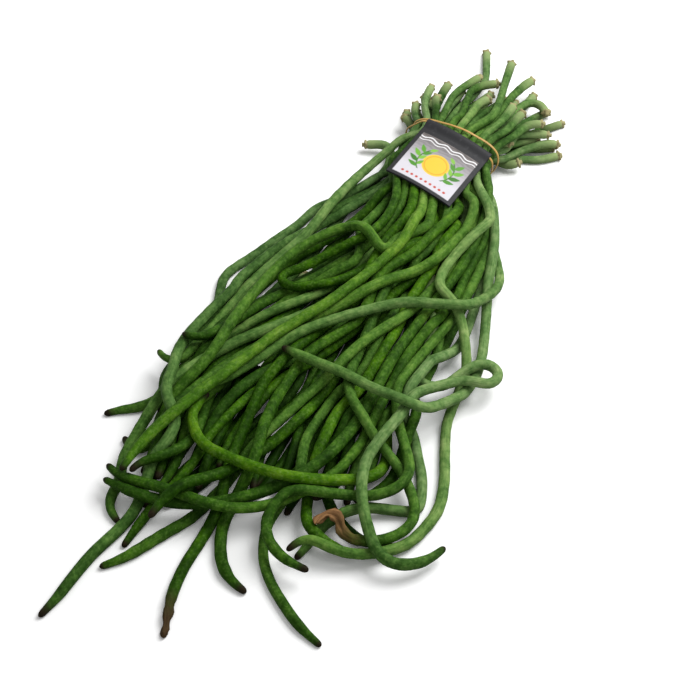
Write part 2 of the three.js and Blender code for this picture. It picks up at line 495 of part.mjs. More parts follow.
    band: [14, 21],
    body: [[40, 165, 8], [46, 140, 6], [50, 115, 4], [50, 90, 4], [44, 65, 4], [36, 40, 4],
      [30, 15, 4], [26, -10, 4], [20, -35, 4], [14, -60, 4], [12, -85, 4]],
  },
  // ---- short and loose, tucked in underneath
  tucked_slant: {
    stem: [],
    body: [[-10, 108, 6], [-8, 92, 5], [-8, 75, 5], [-8, 40, 5], [-11, 8, 4], [-15, -24, 4],
      [-21, -52, 4], [-27, -80, 4], [-38, -108, 4], [-47, -132, 4], [-58, -156, 4],
      [-66, -168, 4]],
  },
  tucked_centre: {
    stem: [],
    body: [[5, 92, 6], [6, 75, 5], [7, 40, 5], [5, 8, 4], [1, -28, 4], [-3, -60, 4],
      [-6, -92, 4], [-10, -118, 4], [-15, -140, 4], [-21, -150, 4]],
  },
  tucked_front: {
    stem: [],
    body: [[20, 100, 6], [22, 75, 5], [24, 40, 5], [23, 8, 4], [20, -28, 4], [18, -62, 4],
      [17, -90, 4], [11, -120, 4], [8, -138, 4], [9, -148, 4]],
  },
  tucked_bow: {
    stem: [],
    body: [[34, 90, 6], [36, 75, 5], [38, 40, 5], [36, 8, 4], [32, -28, 4], [28, -60, 4],
      [24, -92, 4], [26, -118, 4], [36, -136, 4], [50, -148, 4], [66, -152, 4], [80, -146, 4]],
  },
  tucked_left: {
    stem: [],
    body: [[-24, 112, 6], [-26, 75, 5], [-30, 42, 5], [-36, 12, 4], [-42, -20, 4], [-44, -52, 4],
      [-48, -84, 4], [-56, -112, 4], [-65, -138, 4], [-72, -152, 4]],
  },
  tucked_right: {
    stem: [],
    body: [[50, 84, 6], [50, 70, 5], [50, 46, 5], [48, 14, 5], [48, -14, 5], [50, -42, 5],
      [57, -64, 5], [64, -84, 5], [66, -100, 5], [60, -112, 5], [48, -124, 5]],
  },
  tucked_far_left: {
    stem: [],
    body: [[-52, 60, 5], [-58, 20, 4], [-64, -20, 4], [-68, -60, 4], [-72, -95, 4],
      [-76, -125, 4], [-84, -150, 4], [-90, -164, 4]],
  },
  tucked_behind: {
    stem: [],
    body: [[-12, 60, 5], [-16, 20, 4], [-22, -20, 4], [-26, -55, 4], [-34, -75, 4],
      [-44, -95, 4], [-50, -118, 4], [-53, -138, 4], [-62, -158, 4], [-76, -174, 4]],
  },
  tucked_under_bow: {
    stem: [],
    body: [[30, 60, 5], [32, 20, 4], [30, -20, 4], [28, -50, 4], [28, -78, 4], [20, -100, 4],
      [6, -118, 4], [0, -132, 4]],
  },
};

// Thickness of each bean beside an ordinary one, taken in turn along the list.
const SIZES = [1.06, 0.98, 1, 0.98, 1.02, 1.06, 1, 0.93, 1.04, 0.94, 1.02, 0.96];

// ------------------------------------------------------------ small helpers

const smooth = (from, to, x) => THREE.MathUtils.smoothstep(x, from, to);

// The point at height z on the line from a plan point to EYE.
function onSight(x, y, z) {
  const share = z / EYE.z;
  return new Vector3(x + (EYE.x - x) * share, y + (EYE.y - y) * share, z);
}

// The plan point that a real point is seen against, with its height kept beside it.
function planPoint(p) {
  const share = p.z / EYE.z;
  const x = (p.x - EYE.x * share) / (1 - share);
  const y = (p.y - EYE.y * share) / (1 - share);
  return new Vector3(x, y, p.z);
}

// Directions of the band's plane: along it, and out of it towards the stems.
const ALONG = new Vector3(Math.cos(BAND.turn), Math.sin(BAND.turn), 0);
const AXIS = new Vector3(-Math.sin(BAND.turn), Math.cos(BAND.turn), 0);

function bandPoint([across, up]) {
  return BAND.centre.clone().addScaledVector(ALONG, across).setZ(up);
}

// The card's frame: along its folded edge, down its leaf, and out of its face.
const CARD_FRAME = new THREE.Matrix4().makeRotationZ(BAND.turn)
  .multiply(new THREE.Matrix4().makeRotationY(CARD.roll))
  .multiply(new THREE.Matrix4().makeRotationX(-CARD.slope));
const CARD_SPINE = bandPoint([CARD.across, CARD.up]).addScaledVector(AXIS, -BAND.spread);
const CARD_BACK = CARD_FRAME.clone().setPosition(CARD_SPINE).invert();

// How far the card's face has dropped at a place across it.
const bow = (across) => CARD.bend * (Math.cos(across / CARD.bend) - 1);

// ------------------------------------------------------------ beans as chains

// Share of its full thickness that a bean has at a place along it.
function thickness(fromStem, fromTip) {
  const neck = NECK_SHARE + (1 - NECK_SHARE) * smooth(NECK_START, NECK_END, fromStem);
  const swelling = 1 + END_SWELL * (1 - smooth(SWELL_START, SWELL_END, fromStem));
  const tip = TIP_SHARE + (1 - TIP_SHARE) * smooth(0, TIP_LENGTH, fromTip);
  return Math.min(neck * swelling, tip);
}

// Places along a curve, close where it bends and far apart where it runs straight.
// One of them is at a given point of the curve.
function walk(curve, through) {
  const fine = curve.getSpacedPoints(Math.ceil(curve.getLength()));
  const last = fine.length - 1;
  let nearest = 0;
  fine.forEach((p, i) => {
    if (p.distanceTo(through) < fine[nearest].distanceTo(through)) nearest = i;
  });
  const places = [fine[0]];
  let held = 0;
  let run = 0;
  let turned = 0;
  for (let i = 1; i < last; i += 1) {
    const before = fine[i].clone().sub(fine[i - 1]);
    const after = fine[i + 1].clone().sub(fine[i]);
    run += before.length();
    turned += before.angleTo(after);
    const nearEnd = Math.min(i, last - i) < STEP.end;
    const far = run > (nearEnd ? STEP.nearEnd : STEP.longest);
    const bent = turned > STEP.turn && run > STEP.shortest;
    const crowded = Math.abs(i - nearest) < STEP.shortest || last - i < STEP.shortest;
    if (i === nearest || ((far || bent) && !crowded)) {
      if (i === nearest) held = places.length;
      places.push(fine[i]);
      run = 0;
      turned = 0;
    }
  }
  places.push(fine[last]);
  return { places, held };
}

function makeChain(name, route, size) {
  const stem = route.stem.map(([x, y, h]) => new Vector3(x, y, h));
  const body = route.body.map(([x, y, h]) => new Vector3(x, y, h));
  const through = route.band ? planPoint(bandPoint(route.band)) : body[0];
  const whole = route.band ? [...stem, through, ...body] : [...stem, ...body];
  const { places, held } = walk(new THREE.CatmullRomCurve3(whole, false, 'centripetal'), through);
  const at = places.map((p) => onSight(p.x, p.y, p.z * SETTLE.lift));
  const along = [0];
  for (let i = 1; i < at.length; i += 1) along.push(along[i - 1] + at[i].distanceTo(at[i - 1]));
  const total = along[along.length - 1];
  const radius = along.map((s) => size * POD_RADIUS * thickness(s, total - s));
  const rest = at.slice(1).map((p, i) => p.distanceTo(at[i]));
  return { name, at, radius, rest, aim: places, held, heldUp: through.z };
}

// ------------------------------------------------------------ settling

const PARALLEL = 1e-6;         // two segments count as parallel below this

// How far along each of two segments they come closest.
function closest(p0, p1, q0, q1) {
  const ux = p1.x - p0.x, uy = p1.y - p0.y, uz = p1.z - p0.z;
  const vx = q1.x - q0.x, vy = q1.y - q0.y, vz = q1.z - q0.z;
  const wx = p0.x - q0.x, wy = p0.y - q0.y, wz = p0.z - q0.z;
  const a = ux * ux + uy * uy + uz * uz;
  const b = ux * vx + uy * vy + uz * vz;
  const c = vx * vx + vy * vy + vz * vz;
  const d = ux * wx + uy * wy + uz * wz;
  const e = vx * wx + vy * wy + vz * wz;
  const clamp = (x) => Math.min(1, Math.max(0, x));
  const spread = a * c - b * b;
  let s = spread > PARALLEL * a * c ? clamp((b * e - c * d) / spread) : 0.5;
  const t = clamp((b * s + e) / c);
  s = clamp((b * t - d) / a);
  return [s, t];
}

function listSegments(chains) {
  const segments = [];
  chains.forEach((chain, owner) => {
    for (let i = 0; i + 1 < chain.at.length; i += 1) segments.push({ owner, i, chain });
  });
  return segments;
}

// Pairs of segments near enough to touch before the next listing.
function listPairs(segments) {
  const cell = STEP.longest + 2 * POD_RADIUS + SETTLE.reach;
  const boxes = new Map();
  const middle = segments.map(({ chain, i }) => chain.at[i].clone().lerp(chain.at[i + 1], 0.5));
  const half = segments.map(({ chain, i }) => chain.at[i].distanceTo(chain.at[i + 1]) / 2);
  const pairs = [];
  segments.forEach((one, a) => {
    const home = middle[a].clone().divideScalar(cell).floor();
    for (let dx = -1; dx <= 1; dx += 1) {
      for (let dy = -1; dy <= 1; dy += 1) {
        (boxes.get(`${home.x + dx},${home.y + dy}`) || []).forEach((b) => {
          const other = segments[b];
          if (one.owner === other.owner && Math.abs(one.i - other.i) < SETTLE.apart) return;
          const reach = half[a] + half[b] + SETTLE.widest * POD_RADIUS + SETTLE.reach;
          if (middle[a].distanceTo(middle[b]) < reach) pairs.push([one, other]);
        });
      }
    }
    const key = `${home.x},${home.y}`;
    if (!boxes.has(key)) boxes.set(key, []);
    boxes.get(key).push(a);
  });
  return pairs;
}

// Pushes every overlapping pair apart. Returns the worst overlap that it met.
function separate(pairs) {
  let worst = 0;
  const push = new Vector3();
  pairs.forEach(([one, other]) => {
    const p0 = one.chain.at[one.i];
    const p1 = one.chain.at[one.i + 1];
    const q0 = other.chain.at[other.i];
    const q1 = other.chain.at[other.i + 1];
    const [s, t] = closest(p0, p1, q0, q1);
    push.set(
      p0.x + (p1.x - p0.x) * s - q0.x - (q1.x - q0.x) * t,
      p0.y + (p1.y - p0.y) * s - q0.y - (q1.y - q0.y) * t,
      p0.z + (p1.z - p0.z) * s - q0.z - (q1.z - q0.z) * t,
    );
    const r1 = one.chain.radius[one.i] * (1 - s) + one.chain.radius[one.i + 1] * s;
    const r2 = other.chain.radius[other.i] * (1 - t) + other.chain.radius[other.i + 1] * t;
    const apart = push.length();
    const deep = r1 + r2 + SETTLE.gap - apart;
    if (deep <= 0) return;
    worst = Math.max(worst, deep);
    const weight = (1 - s) ** 2 + s * s + (1 - t) ** 2 + t * t;
    const share = Math.min(deep, SETTLE.shove) / (apart * weight);
    p0.addScaledVector(push, share * (1 - s));
    p1.addScaledVector(push, share * s);
    q0.addScaledVector(push, -share * (1 - t));
    q1.addScaledVector(push, -share * t);
  });
  return worst;
}

// The tube's flat underside is this share of its radius below its middle.
const FLAT = Math.cos(Math.PI / POD_SIDES);

const PROBE = 0.25;            // share of a link between two places that are checked
const HELD_HALF = BAND.spread + BAND.width;

// How far a bean's middle must move to lie inside the band's oval.
function pushIntoBand(p, r, loose) {
  const push = new Vector3();
  const local = p.clone().sub(BAND.centre);
  if (Math.abs(local.dot(AXIS)) > HELD_HALF) return push;
  const across = local.dot(ALONG);
  const middle = (BAND.top + BAND.bottom) / 2;
  const wide = (BAND.half - r) * (1 + SETTLE.slackest * loose);
  const tall = ((BAND.top - BAND.bottom) / 2 - r) * (1 + SETTLE.slackest * loose);
  const out = (Math.abs(across / wide) ** BAND.square + Math.abs((p.z - middle) / tall) ** BAND.square)
    ** (1 / BAND.square);
  if (out <= 1) return push;
  push.addScaledVector(ALONG, across / out - across);
  push.z = (p.z - middle) * (1 / out - 1);
  return push.clampLength(0, SETTLE.shove);
}

// How far a bean's middle must move to pass below the card.
function pushUnderCard(p, r, loose) {
  const push = new Vector3();
  const local = p.clone().applyMatrix4(CARD_BACK);
  const beside = Math.abs(local.x) > CARD.wide / 2 + r;
  if (beside || local.y > CARD.fold + r || local.y < -CARD.long - r) return push;
  const nearFold = smooth(-CARD.eased * CARD.fold, -CARD.fold, local.y);
  const deep = CARD.gap / 2 + (CARD.fold - CARD.gap / 2) * nearFold + CARD.thick;
  const room = local.z - bow(local.x) + deep + r + CARD.clear;
  push.z = -THREE.MathUtils.clamp(room - SETTLE.above * loose, 0, SETTLE.shove);
  return push;
}

// Keeps a chain above the table, inside the band and under the card.
function keepInside(chain, loose) {
  const { at, radius } = chain;
  at.forEach((p, i) => {
    p.z = Math.max(p.z, radius[i] * FLAT);
  });
  const p = new Vector3();
  for (let i = 0; i + 1 < at.length; i += 1) {
    for (let share = 0; share < 1; share += PROBE) {
      p.copy(at[i]).lerp(at[i + 1], share);
      const r = radius[i] * (1 - share) + radius[i + 1] * share;
      const push = pushIntoBand(p, r, loose).add(pushUnderCard(p, r, loose));
      if (push.x === 0 && push.y === 0 && push.z === 0) continue;
      const weight = (1 - share) ** 2 + share ** 2;
      at[i].addScaledVector(push, (1 - share) / weight);
      at[i + 1].addScaledVector(push, share / weight);
    }
  }
}

// A bean is as long as its route is at the heights where it now lies, and as
// much longer as the beans beside it make its way.
function fitLength({ at, aim, rest }) {
  const laid = aim.map((p, i) => onSight(p.x, p.y, at[i].z));
  rest.forEach((length, i) => {
    const asLaid = laid[i].distanceTo(laid[i + 1]);
    const asLying = at[i].distanceTo(at[i + 1]);
    rest[i] += SETTLE.fit * (asLaid - length) + SETTLE.give * (asLying - length);
  });
}

// Keeps a bean as long as its route, and stops it folding onto itself.
function keepLength(chain) {
  const { at, rest } = chain;
  const along = new Vector3();
  for (let i = 0; i + 1 < at.length; i += 1) {
    along.copy(at[i + 1]).sub(at[i]);
    const off = (1 - rest[i] / along.length()) * SETTLE.tension;
    at[i].addScaledVector(along, off);
    at[i + 1].addScaledVector(along, -off);
    if (i === 0) continue;
    along.copy(at[i + 1]).sub(at[i - 1]);
    const shortest = SETTLE.unfold * Math.hypot(rest[i - 1], rest[i]);
    const fold = shortest / along.length() - 1;
    if (fold < 0) continue;
    at[i - 1].addScaledVector(along, -fold * SETTLE.tension);
    at[i + 1].addScaledVector(along, fold * SETTLE.tension);
  }
}

// Pulls a chain towards its route, lets it sag and takes its kinks out.
function relax(chain) {
  const { at, aim } = chain;
  const last = at.length - 1;
  const stray = at.map((p, i) => {
    const want = onSight(aim[i].x, aim[i].y, p.z);
    return new Vector2(p.x - want.x, p.y - want.y);
  });
  const heights = at.map((p) => p.z);
  for (let i = 0; i <= last; i += 1) {
    const a = Math.max(0, i - 1);
    const b = Math.min(last, i + 1);
    const before = i === 0 ? STEP.longest : at[i].distanceTo(at[a]);
    const after = i === last ? STEP.longest : at[i].distanceTo(at[b]);
    const share = before / (before + after);
    const level = heights[a] * (1 - share) + heights[b] * share;
    const droop = (before * after) / (2 * SETTLE.sag);
    at[i].z += SETTLE.stiff * (level - heights[i] - droop);
    const mean = stray[a].clone().lerp(stray[b], share).sub(stray[i]);
    at[i].x += SETTLE.follow * mean.x - SETTLE.hold * stray[i].x;
    at[i].y += SETTLE.follow * mean.y - SETTLE.hold * stray[i].y;
  }
  const held = at[chain.held];
  held.z += SETTLE.grip * (chain.heldUp - held.z);
}

function settle(chains) {
  const segments = listSegments(chains);
  let pairs = [];
  for (let step = 0; step < SETTLE.steps; step += 1) {
    if (step % SETTLE.relist === 0) pairs = listPairs(segments);
    const loose = Math.max(0, 1 - step / SETTLE.closing);
    chains.forEach((chain) => relax(chain));
    chains.forEach((chain) => fitLength(chain));
    chains.forEach((chain) => keepLength(chain));
    for (let pass = 0; pass < SETTLE.passes; pass += 1) {
      chains.forEach((chain) => keepInside(chain, loose));
      separate(pairs);
    }
  }
  for (let pass = 0; pass < SETTLE.finish; pass += 1) {
    if (pass % SETTLE.relist === 0) pairs = listPairs(segments);
    chains.forEach((chain) => keepLength(chain));
    chains.forEach((chain) => keepInside(chain, 0));
    if (separate(pairs) < SETTLE.close) break;
  }
}

// ------------------------------------------------------------ solids

// A closed body from rings of equal size: capped at both ends, or joined into a loop.
function skin(rings, looped) {
  const sides = rings[0].length;
  const points = rings.flat();
  const faces = [];
  const last = looped ? rings.length : rings.length - 1;
  for (let i = 0; i < last; i += 1) {
    for (let k = 0; k < sides; k += 1) {
      const a = i * sides + k;
      const b = i * sides + ((k + 1) % sides);
      const c = ((i + 1) % rings.length) * sides + ((k + 1) % sides);
      const d = ((i + 1) % rings.length) * sides + k;
      faces.push(a, b, c, a, c, d);
    }
  }
  return { points, faces, sides };
}

function toGeometry(points, faces) {
  const geometry = new THREE.BufferGeometry().setFromPoints(points);
  geometry.setIndex(faces);
  geometry.computeVertexNormals();
  return geometry;
}

function podGeometry(chain) {
  const { at, radius } = chain;
  const last = at.length - 1;
  const up = new Vector3(0, 0, 1);
  const rings = at.map((p, i) => {
    const ahead = at[Math.min(last, i + 1)].clone().sub(at[Math.max(0, i - 1)]).normalize();
    const side = ahead.clone().cross(up).normalize();
    const top = side.clone().cross(ahead);
    return Array.from({ length: POD_SIDES }, (_, k) => {
      const angle = ((k + 0.5) / POD_SIDES) * 2 * Math.PI;
      const corner = p.clone()
        .addScaledVector(side, radius[i] * Math.sin(angle))
        .addScaledVector(top, radius[i] * Math.cos(angle));
      return corner.setZ(Math.max(0, corner.z));
    });
  });
  const { points, faces, sides } = skin(rings, false);
  const ends = [[0, 1], [last, last - 1]];
  ends.forEach(([end, inner], which) => {
    const out = at[end].clone().sub(at[inner]).normalize();
    const pole = at[end].clone().addScaledVector(out, radius[end] * POD_CAP);
    pole.z = Math.max(0, pole.z);
    points.push(pole);
    for (let k = 0; k < sides; k += 1) {
      const a = end * sides + k;
      const b = end * sides + ((k + 1) % sides);
      faces.push(points.length - 1, ...(which === 0 ? [b, a] : [a, b]));
    }
  });
  return toGeometry(points, faces);
}

const DISC_SIDES = 24;
const SPOT = 0.01;             // radius of a disc that stands for a point
const HAIR = 1e-6;             // a length or share small enough to ignore

// The outline that an elastic pulled tight around some discs would take.
function hull(discs) {
  const rim = discs.flatMap(({ across, up, r }) => Array.from({ length: DISC_SIDES }, (_, k) => {
    const angle = (k / DISC_SIDES) * 2 * Math.PI;
    return new Vector2(across + r * Math.cos(angle), up + r * Math.sin(angle));
  }));
  rim.sort((a, b) => a.x - b.x || a.y - b.y);
  const chainOf = (list) => {
    const kept = [];
    list.forEach((p) => {
      while (kept.length > 1) {
        const a = kept[kept.length - 2];
        const b = kept[kept.length - 1];
        if ((b.x - a.x) * (p.y - a.y) - (b.y - a.y) * (p.x - a.x) > 0) break;
        kept.pop();
      }
      kept.push(p);
    });
    return kept.slice(0, -1);
  };
  return [...chainOf(rim), ...chainOf([...rim].reverse())];
}

// Where a ray from a middle point, at an angle from straight up, leaves an outline.
function rimAt(outline, centre, angle) {
  const ray = new Vector2(Math.sin(angle), Math.cos(angle));
  let far = 0;
  outline.forEach((a, i) => {
    const b = outline[(i + 1) % outline.length];
    const edge = b.clone().sub(a);
    const from = a.clone().sub(centre);
    const turn = ray.x * edge.y - ray.y * edge.x;
    if (Math.abs(turn) < HAIR * HAIR) return;
    const along = (from.x * edge.y - from.y * edge.x) / turn;
    const share = (from.x * ray.y - from.y * ray.x) / turn;
    if (along > 0 && share >= -HAIR && share <= 1 + HAIR) far = Math.max(far, along);
  });
  return far;
}

// The beans' sections between two places along the band's axis.
function discsBetween(chains, from, to) {
  const discs = [];
  chains.forEach(({ at, radius }) => {
    for (let i = 0; i + 1 < at.length; i += 1) {
      for (let share = 0; share <= 1; share += PROBE / 2) {
        const p = at[i].clone().lerp(at[i + 1], share).sub(BAND.centre);
        const off = p.dot(AXIS);
        if (off < from || off > to) continue;
        const r = Math.max(radius[i], radius[i + 1]) + BAND.slack + BAND.thick / 2;
        discs.push({ across: p.dot(ALONG), up: p.z, r });
      }
    }
  });
  return discs;
}

// One closed elastic, wound twice. Its two turns part at the top, where the second
// one goes through the card's fold, and cross over underneath.
function elasticGeometry(chains) {
  const overCard = [];
  const reach = CARD.wide / 2 + BAND.width;
  for (let across = -reach; across <= reach; across += reach / CARD.pieces) {
    const p = new Vector3(across, 0, bow(across)).applyMatrix4(CARD_FRAME).add(CARD_SPINE);
    overCard.push({ across: p.sub(BAND.centre).dot(ALONG), up: p.z, r: SPOT });
  }
  const shared = BAND.width;
  const bare = hull(discsBetween(chains, -shared, HELD_HALF));
  const carrying = hull([...discsBetween(chains, -HELD_HALF, shared), ...overCard]);
  const centre = new Vector2(0, (BAND.top + BAND.bottom) / 2);
  const count = BAND.rings;
  const path = Array.from({ length: count }, (_, i) => {
    const angle = (i / count) * 4 * Math.PI;
    const lift = (BAND.over / 2) * (1 + Math.sin(angle / 2));
    const part = THREE.MathUtils.clamp(BAND.apart * Math.cos(angle / 2), -1, 1) ** 3;
    const toCard = (1 - part) / 2;
    const out = rimAt(bare, centre, angle) * (1 - toCard) + rimAt(carrying, centre, angle) * toCard;
    const p = BAND.centre.clone();
    p.addScaledVector(ALONG, (out + lift) * Math.sin(angle));
    p.z = centre.y + (out + lift) * Math.cos(angle);
    return p.addScaledVector(AXIS, BAND.spread * part);
  });
  const rings = path.map((p, i) => {
    const ahead = path[(i + 1) % count].clone().sub(path[(i + count - 1) % count]).normalize();
    const outward = ahead.clone().cross(AXIS).normalize();
    const flat = outward.clone().cross(ahead);
    const corners = [[-1, -1], [1, -1], [1, 1], [-1, 1]];
    return corners.map(([w, t]) => p.clone()
      .addScaledVector(flat, (w * BAND.width) / 2)
      .addScaledVector(outward, (t * BAND.thick) / 2));
  });
  const { points, faces } = skin(rings, true);
  return toGeometry(points, faces);
}

// The label: one card folded over the elastic, its two leaves together below it.
function cardGeometry() {
  const { wide, long, thick, gap, fold } = CARD;
  const outer = fold + thick;
  const leaf = gap / 2 + thick;
  const meet = -CARD.closed * fold;
  const knee = -CARD.knee * fold;
  const wrap = Math.PI * CARD.wrap;
  const endX = Math.cos(wrap);
  const endY = Math.sin(wrap);
  const shape = new THREE.Shape();
  shape.moveTo(-long, leaf);
  shape.lineTo(meet, leaf);
  shape.quadraticCurveTo(knee, leaf, outer * endX, outer * endY);
  shape.absarc(0, 0, outer, wrap, -wrap, true);
  shape.quadraticCurveTo(knee, -leaf, meet, -leaf);
  shape.lineTo(-long, -leaf);
  shape.lineTo(-long, -gap / 2);
  shape.lineTo(meet, -gap / 2);
  shape.quadraticCurveTo(knee, -gap / 2, fold * endX, -fold * endY);
  shape.absarc(0, 0, fold, -wrap, wrap, false);
  shape.quadraticCurveTo(knee, gap / 2, meet, gap / 2);
  shape.lineTo(-long, gap / 2);
  const solid = new THREE.ExtrudeGeometry(shape, {
    depth: wide, steps: CARD.pieces, curveSegments: 5, bevelEnabled: false,
  });
  solid.deleteAttribute('normal');
  solid.deleteAttribute('uv');
  const merged = mergeVertices(solid, 1e-4);
  const place = merged.attributes.position;
  for (let i = 0; i < place.count; i += 1) {
    const across = place.getZ(i) - wide / 2;
    const turn = across / CARD.bend;
    const high = place.getY(i);
    const p = new Vector3(
      (CARD.bend + high) * Math.sin(turn),
      place.getX(i),
      (CARD.bend + high) * Math.cos(turn) - CARD.bend,
    );
    p.applyMatrix4(CARD_FRAME).add(CARD_SPINE);
    place.setXYZ(i, p.x, p.y, p.z);
  }
  merged.computeVertexNormals();
  return merged;
}

// ------------------------------------------------------------ the bunch

const GREENS = [0x4f7d22, 0x5c8a2c, 0x3f6b24, 0x6f9a34, 0x49752b, 0x3a6229];

function finish(colour, roughness) {
  return new THREE.MeshStandardMaterial({ color: colour, roughness, metalness: 0 });
}

function makeBunch() {
  const chains = Object.values(ROUTES).map((route, i) => {
    const number = String(i + 1).padStart(2, '0');
    return makeChain(`bean_${number}`, route, SIZES[i % SIZES.length]);
  });
  settle(chains);

  const bunch = new THREE.Group();
  chains.forEach((chain, i) => {
    const pod = new THREE.Mesh(podGeometry(chain), finish(GREENS[i % GREENS.length], 0.55));
    pod.name = chain.name;
    bunch.add(pod);
  });
  const elastic = new THREE.Mesh(elasticGeometry(chains), finish(0xd8b45a, 0.6));
  elastic.name = 'elastic_band';
  bunch.add(elastic);
  const label = new THREE.Mesh(cardGeometry(), finish(0x4a4b50, 0.5));
  label.name = 'label';
  bunch.add(label);

  const box = new THREE.Box3().setFromObject(bunch);
  const middle = box.getCenter(new Vector3());
  bunch.position.set(-middle.x, -middle.y, -box.min.z);
  bunch.updateMatrixWorld(true);
  return bunch;
}

const bunch = makeBunch();

export default bunch;
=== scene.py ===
# %% [markdown]
# # A bunch of yardlong beans
#
# Yardlong beans are pods, half a metre long and as thick as a pencil. They are
# limp enough to lie in curves and loops. This bunch is held near its stem ends
# by a thin natural-rubber elastic, and a folded card tag hangs on the elastic.
#
# The engineering model, called the frame here, says where each bean lies. Its
# beans are plain six-sided tubes. This script gives each one a round, living pod
# in the same place, and makes the elastic, the tag, the materials and the light.

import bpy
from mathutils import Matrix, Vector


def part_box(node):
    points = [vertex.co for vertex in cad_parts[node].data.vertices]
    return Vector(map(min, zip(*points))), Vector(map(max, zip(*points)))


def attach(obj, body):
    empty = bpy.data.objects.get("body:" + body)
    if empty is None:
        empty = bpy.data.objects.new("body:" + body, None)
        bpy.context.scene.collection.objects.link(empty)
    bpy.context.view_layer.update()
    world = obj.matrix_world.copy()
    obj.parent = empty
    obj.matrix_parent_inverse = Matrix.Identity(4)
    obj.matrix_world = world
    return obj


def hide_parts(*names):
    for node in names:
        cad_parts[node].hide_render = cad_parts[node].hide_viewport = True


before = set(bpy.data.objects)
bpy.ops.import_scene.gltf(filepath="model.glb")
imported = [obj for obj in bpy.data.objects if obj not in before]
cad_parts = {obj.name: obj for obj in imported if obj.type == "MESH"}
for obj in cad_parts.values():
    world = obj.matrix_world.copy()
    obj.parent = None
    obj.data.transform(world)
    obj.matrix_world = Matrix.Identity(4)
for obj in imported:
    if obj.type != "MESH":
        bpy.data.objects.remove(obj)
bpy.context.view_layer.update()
print("frame nodes:", len(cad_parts))

# %% Tools for this lesson
import math
import random

import bmesh
import bpy
import numpy as np
from mathutils import Vector

MM = 0.001
BEANS = sorted(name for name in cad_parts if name.startswith("bean_"))
print("beans:", len(BEANS))

# %% [markdown]
# ## Everyday helpers
#
# Four small jobs come up again and again: joining a node's loose triangles at
# their corners, reading a mesh's points, shading it smooth, and putting it in the
# scene. Each could be typed out every time, but a named function says what is
# meant, and keeps the steps that matter short.

# %% Helpers
WELD = 0.005 * MM


def welded(node):
    """A frame node's triangles, joined at their corners."""
    shell = bmesh.new()
    shell.from_mesh(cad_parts[node].data)
    bmesh.ops.remove_doubles(shell, verts=shell.verts, dist=WELD)
    return shell


def read_points(mesh):
    flat = np.zeros(len(mesh.vertices) * 3)
    mesh.vertices.foreach_get("co", flat)
    return flat.reshape(-1, 3)


def shade_smooth(mesh):
    mesh.polygons.foreach_set("use_smooth", [True] * len(mesh.polygons))


def put_in_scene(name, data):
    thing = bpy.data.objects.new(name, data)
    bpy.context.scene.collection.objects.link(thing)
    return thing


# %% [markdown]
# ## The camera
#
# The bunch lies on a table and is seen from above, a little from its right, from
# about a metre away. The card tag is the steadiest landmark on the bunch, so the
# point that the camera looks at is found from the tag.

# %% Camera
AIM_FROM_TAG = Vector((-9.2, -171.8, -37.5)) * MM
EYE_FROM_AIM = Vector((257.3, -706.9, 806.7)) * MM
LENS_MM = 81.1
FARTHEST_SEEN = 20.0

tag_low, tag_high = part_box("label")
aim = (tag_low + tag_high) / 2 + AIM_FROM_TAG
camera = put_in_scene("camera", bpy.data.cameras.new("camera"))
camera.data.lens = LENS_MM
camera.data.clip_end = FARTHEST_SEEN
camera.location = aim + EYE_FROM_AIM
camera.rotation_euler = (-EYE_FROM_AIM).to_track_quat("-Z", "Y").to_euler()
bpy.context.scene.camera = camera
print("camera at", [round(x, 3) for x in camera.location])

# %% [markdown]
# ## Finding each bean's line
#
# A bean in the frame is a tube: one point at each end, and rings of six points
# between them. Walking outwards from an end point, one edge at a time, meets the
# rings in order. The middle of each ring is a point on the bean's line, and the
# ring's size is the bean's thickness there. A pod is thicker at its stem end, so a
# line that starts at the thinner end is turned round.

# %% Rings of a tube
RING = 6


def rings_from(start):
    """The points that are one edge away from start, then two edges away, and so on."""
    rings = [[start]]
    seen = {start}
    while rings[-1]:
        rings.append([])
        for point in rings[-2]:
            for edge in point.link_edges:
                other = edge.other_vert(point)
                if other not in seen:
                    seen.add(other)
                    rings[-1].append(other)
    return rings[:-1]


def is_tube(rings):
    return len(rings[-1]) == 1 and all(len(ring) == RING for ring in rings[1:-1])


def tube_line(node):
    """Points along the middle of a bean, from its stem end, and its radius at each."""
    tube = welded(node)
    for start in tube.verts:
        if len(start.link_edges) != RING:
            continue
        rings = rings_from(start)
        if is_tube(rings):
            break
    line = [sum((p.co for p in ring), Vector()) / len(ring) for ring in rings]
    size = [sum((p.co - m).length for p in ring) / len(ring) for ring, m in zip(rings, line)]
    tube.free()
    if size[1] < size[-2]:
        line.reverse()
        size.reverse()
    return np.array(line), np.array(size)


LINES = {bean: tube_line(bean) for bean in BEANS}
print("rings on each bean:", [len(line) for line, _ in LINES.values()])

# %% [markdown]
# ## Smoothing a line
#
# The points are one or two centimetres apart. A Catmull-Rom curve passes through
# them all, and averaging each point with its neighbours takes out the last kinks.

# %% Smooth curve
FINE = 1.5 * MM
SOFTEN_ROUNDS = 12


def through(points):
    """A Catmull-Rom curve in fine steps."""
    before = 2 * points[0] - points[1]
    after = 2 * points[-1] - points[-2]
    points = np.vstack([before, points, after])
    curve = []
    for a, b, c, d in zip(points, points[1:], points[2:], points[3:]):
        steps = max(2, round(float(np.linalg.norm(c - b)) / FINE))
        t = (np.arange(steps) / steps)[:, None]
        bend = (2 * a - 5 * b + 4 * c - d) * t ** 2 + (3 * b - a - 3 * c + d) * t ** 3
        curve.append(b + ((c - a) * t + bend) / 2)
    return np.vstack(curve + [points[-2]])


def soften(curve):
    for _ in range(SOFTEN_ROUNDS):
        curve[1:-1] += ((curve[:-2] + curve[2:]) / 2 - curve[1:-1]) / 2
    return curve


def travelled(curve):
    """How far along the curve each of its points is."""
    steps = np.linalg.norm(np.diff(curve, axis=0), axis=1)
    return np.concatenate([[0], np.cumsum(steps)])


